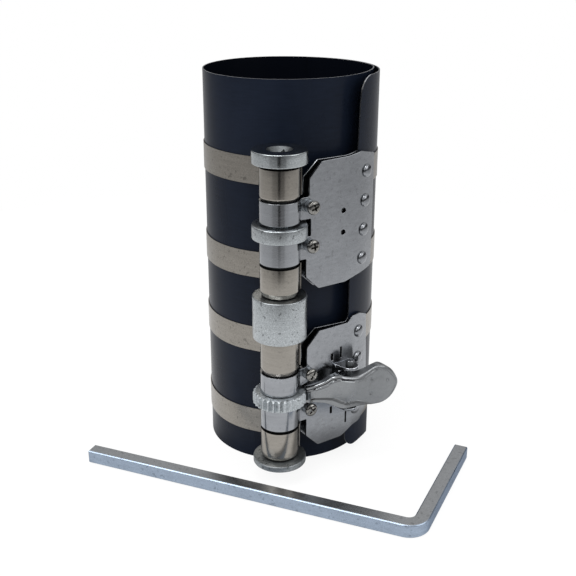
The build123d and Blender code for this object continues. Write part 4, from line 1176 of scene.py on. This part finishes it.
# How bright the white room looks in polished metal: by direction round the tool, in degrees from the front,
# how the dark horizon takes over by height, and how much of the bright ceiling shows above it
WALL_LEVELS = [(-180, 0.7), (-60, 0.58), (-42, 0.5), (-38, 0.36), (-9, 0.26), (-7, 0.02), (4, 0.02), (6, 0.2),
               (26, 0.24), (30, 0.5), (60, 0.68), (180, 0.65)]
DUSK_SHARE = [(-1.0, 0.0), (-0.16, 0.0), (-0.06, 1.0), (1.0, 1.0)]
DUSK = (0.05, 0.05, 0.055)
CEILING_SHARE = [(-1.0, 0.0), (0.16, 0.0), (0.42, 1.0), (1.0, 1.0)]
CEILING = (0.8, 0.8, 0.8)
# The paper in the metal, by distance from a point beside the sleeve's axis: its brightness, with a painted
# shadow of the tool close to it, and how far the room takes over
PAINTED_SHADOW_CENTRE = (0.016, -0.008, 0.0)
PAPER_LEVELS = [(0.0, 0.2), (0.045, 0.25), (0.057, 1.0), (0.15, 1.0), (0.3, 0.8), (0.42, 0.6)]
PAPER_END = [(0.0, 0.0), (0.27, 0.0), (0.36, 1.0), (1.0, 1.0)]


def room_level(tree, east, south):
    """The room's brightness towards a direction given by its two flat parts."""
    turn = tree.maths("DEGREES", tree.maths("ARCTAN2", east, south))
    return tree.ramp(turn, WALL_LEVELS, -180.0, 180.0)


def make_world():
    """White room: even soft light, and a dim front with one dark strip in the reflections."""
    world = bpy.data.worlds.new("Studio")
    bpy.context.scene.world = world
    world.use_nodes = True
    tree = Wiring(world.node_tree)
    tree.tree.nodes.clear()
    way = tree.split(tree.add("ShaderNodeTexCoord").outputs["Generated"])
    walls = room_level(tree, way["X"], tree.times(way["Y"], -1.0))
    dusk = tree.mix(tree.ramp(way["Z"], DUSK_SHARE, -1.0, 1.0), walls, DUSK)
    mirrored = tree.mix(tree.ramp(way["Z"], CEILING_SHARE, -1.0, 1.0), dusk, CEILING)
    path = tree.add("ShaderNodeLightPath").outputs
    soft = tree.add("ShaderNodeBackground", {"Color": (1.0, 1.0, 1.0, 1.0), "Strength": 0.9})
    room = tree.add("ShaderNodeBackground", {"Color": mirrored, "Strength": 1.0})
    white = tree.add("ShaderNodeBackground", {"Color": (1.0, 1.0, 1.0, 1.0), "Strength": 1.0})
    seen = tree.maths("MAXIMUM", path["Is Camera Ray"], path["Is Transmission Ray"])
    shiny = tree.add("ShaderNodeMixShader", {0: path["Is Glossy Ray"], 1: soft.outputs[0],
                                             2: room.outputs[0]})
    both = tree.add("ShaderNodeMixShader", {0: seen, 1: shiny.outputs[0], 2: white.outputs[0]})
    tree.add("ShaderNodeOutputWorld", {"Surface": both.outputs[0]})


def make_floor():
    """Round sheet of paper, white to the camera, that still takes a soft shadow. In the metal it shows a
    painted shadow close to the sleeve, white paper beyond it, and the room's painted levels further out.
    """
    mesh = bpy.data.meshes.new("Floor")
    turns = [2 * pi * i / 96 for i in range(96)]
    ring = [(PAPER_RADIUS * cos(t), PAPER_RADIUS * sin(t), 0.0) for t in turns]
    mesh.from_pydata(ring, [], [tuple(range(96))])
    floor = bpy.data.objects.new("Floor", mesh)
    floor.location.z = -PAPER_DROP
    bpy.context.scene.collection.objects.link(floor)
    material = bpy.data.materials.new("Floor_paper")
    material.use_nodes = True
    tree = Wiring(material.node_tree)
    tree.tree.nodes.clear()
    paper = tree.add("ShaderNodeBsdfDiffuse", {"Color": (0.82, 0.82, 0.82, 1.0)})
    where = tree.add("ShaderNodeTexCoord").outputs["Object"]
    place = tree.split(where)
    walls = room_level(tree, place["X"], tree.minus(SPINDLE[1] * MM, place["Y"]))
    aside = tree.add("ShaderNodeVectorMath", {0: where, 1: PAINTED_SHADOW_CENTRE}, operation="SUBTRACT").outputs[0]
    away = tree.add("ShaderNodeVectorMath", {0: aside}, operation="LENGTH").outputs["Value"]
    # Painted shadow and painted reflection: what the metal sees of the paper is set by distance, not by the
    # lamps
    mirrored = tree.mix(tree.ramp(away, PAPER_END), tree.ramp(away, PAPER_LEVELS), walls)
    path = tree.add("ShaderNodeLightPath").outputs
    level = tree.mix(path["Is Glossy Ray"], (1.04, 1.04, 1.04), mirrored)
    glow = tree.add("ShaderNodeEmission", {"Color": level, "Strength": 1.0})
    shown = tree.maths("MAXIMUM", path["Is Camera Ray"], path["Is Glossy Ray"])
    both = tree.add("ShaderNodeMixShader", {0: tree.times(shown, 0.85), 1: paper.outputs[0],
                                            2: glow.outputs[0]})
    tree.add("ShaderNodeOutputMaterial", {"Surface": both.outputs[0]})
    mesh.materials.append(material)


def make_lamp(name, place, size, power):
    data = bpy.data.lights.new(name, "AREA")
    data.shape = "SQUARE"
    data.size = size
    data.energy = power
    made = bpy.data.objects.new(name, data)
    made.location = place
    made.rotation_euler = (Vector(LAMP_TARGET) - Vector(place)).to_track_quat("-Z", "Y").to_euler()
    bpy.context.scene.collection.objects.link(made)


class COMPRESSOR_OT_studio(bpy.types.Operator):
    """Make the floor, the lights and the camera"""
    bl_idname = "compressor.studio"
    bl_label = "Studio"

    def execute(self, context):
        make_world()
        make_floor()
        for name, lamp in LAMPS.items():
            make_lamp(name, *lamp)
        data = bpy.data.cameras.new("Camera")
        data.sensor_width = SENSOR
        data.lens = FOCAL_PIXELS * SENSOR / IMAGE_PIXELS
        data.clip_start, data.clip_end = 0.01, 20.0
        camera = bpy.data.objects.new("Camera", data)
        camera.matrix_world = camera_matrix()
        context.scene.collection.objects.link(camera)
        context.scene.camera = camera
        context.scene.view_settings.view_transform = "Standard"
        return {"FINISHED"}


class COMPRESSOR_PT_panel(bpy.types.Panel):
    """Lists the steps and their sizes"""
    bl_label = "Piston ring compressor"
    bl_idname = "COMPRESSOR_PT_panel"
    bl_space_type = "VIEW_3D"
    bl_region_type = "UI"
    bl_category = "Compressor"

    def draw(self, context):
        for step in STEPS:
            self.layout.operator(step.bl_idname)
        for group in (context.scene.compressor_finishes, context.scene.compressor_sizes):
            for name in group.__annotations__:
                self.layout.prop(group, name)


STEPS = (COMPRESSOR_OT_finishes, COMPRESSOR_OT_spindle, COMPRESSOR_OT_edges, COMPRESSOR_OT_rivets,
         COMPRESSOR_OT_screws, COMPRESSOR_OT_wheel, COMPRESSOR_OT_lever, COMPRESSOR_OT_pivot,
         COMPRESSOR_OT_studio)
CLASSES = (CompressorFinishes, CompressorSizes, *STEPS, COMPRESSOR_PT_panel)


def register():
    for item in CLASSES:
        bpy.utils.register_class(item)
    bpy.types.Scene.compressor_finishes = PointerProperty(type=CompressorFinishes)
    bpy.types.Scene.compressor_sizes = PointerProperty(type=CompressorSizes)


def unregister():
    del bpy.types.Scene.compressor_sizes
    del bpy.types.Scene.compressor_finishes
    for item in reversed(CLASSES):
        bpy.utils.unregister_class(item)


def main():
    register()
    for step in STEPS:
        group, name = step.bl_idname.split(".")
        getattr(getattr(bpy.ops, group), name)()


if __name__ == "__main__":
    main()
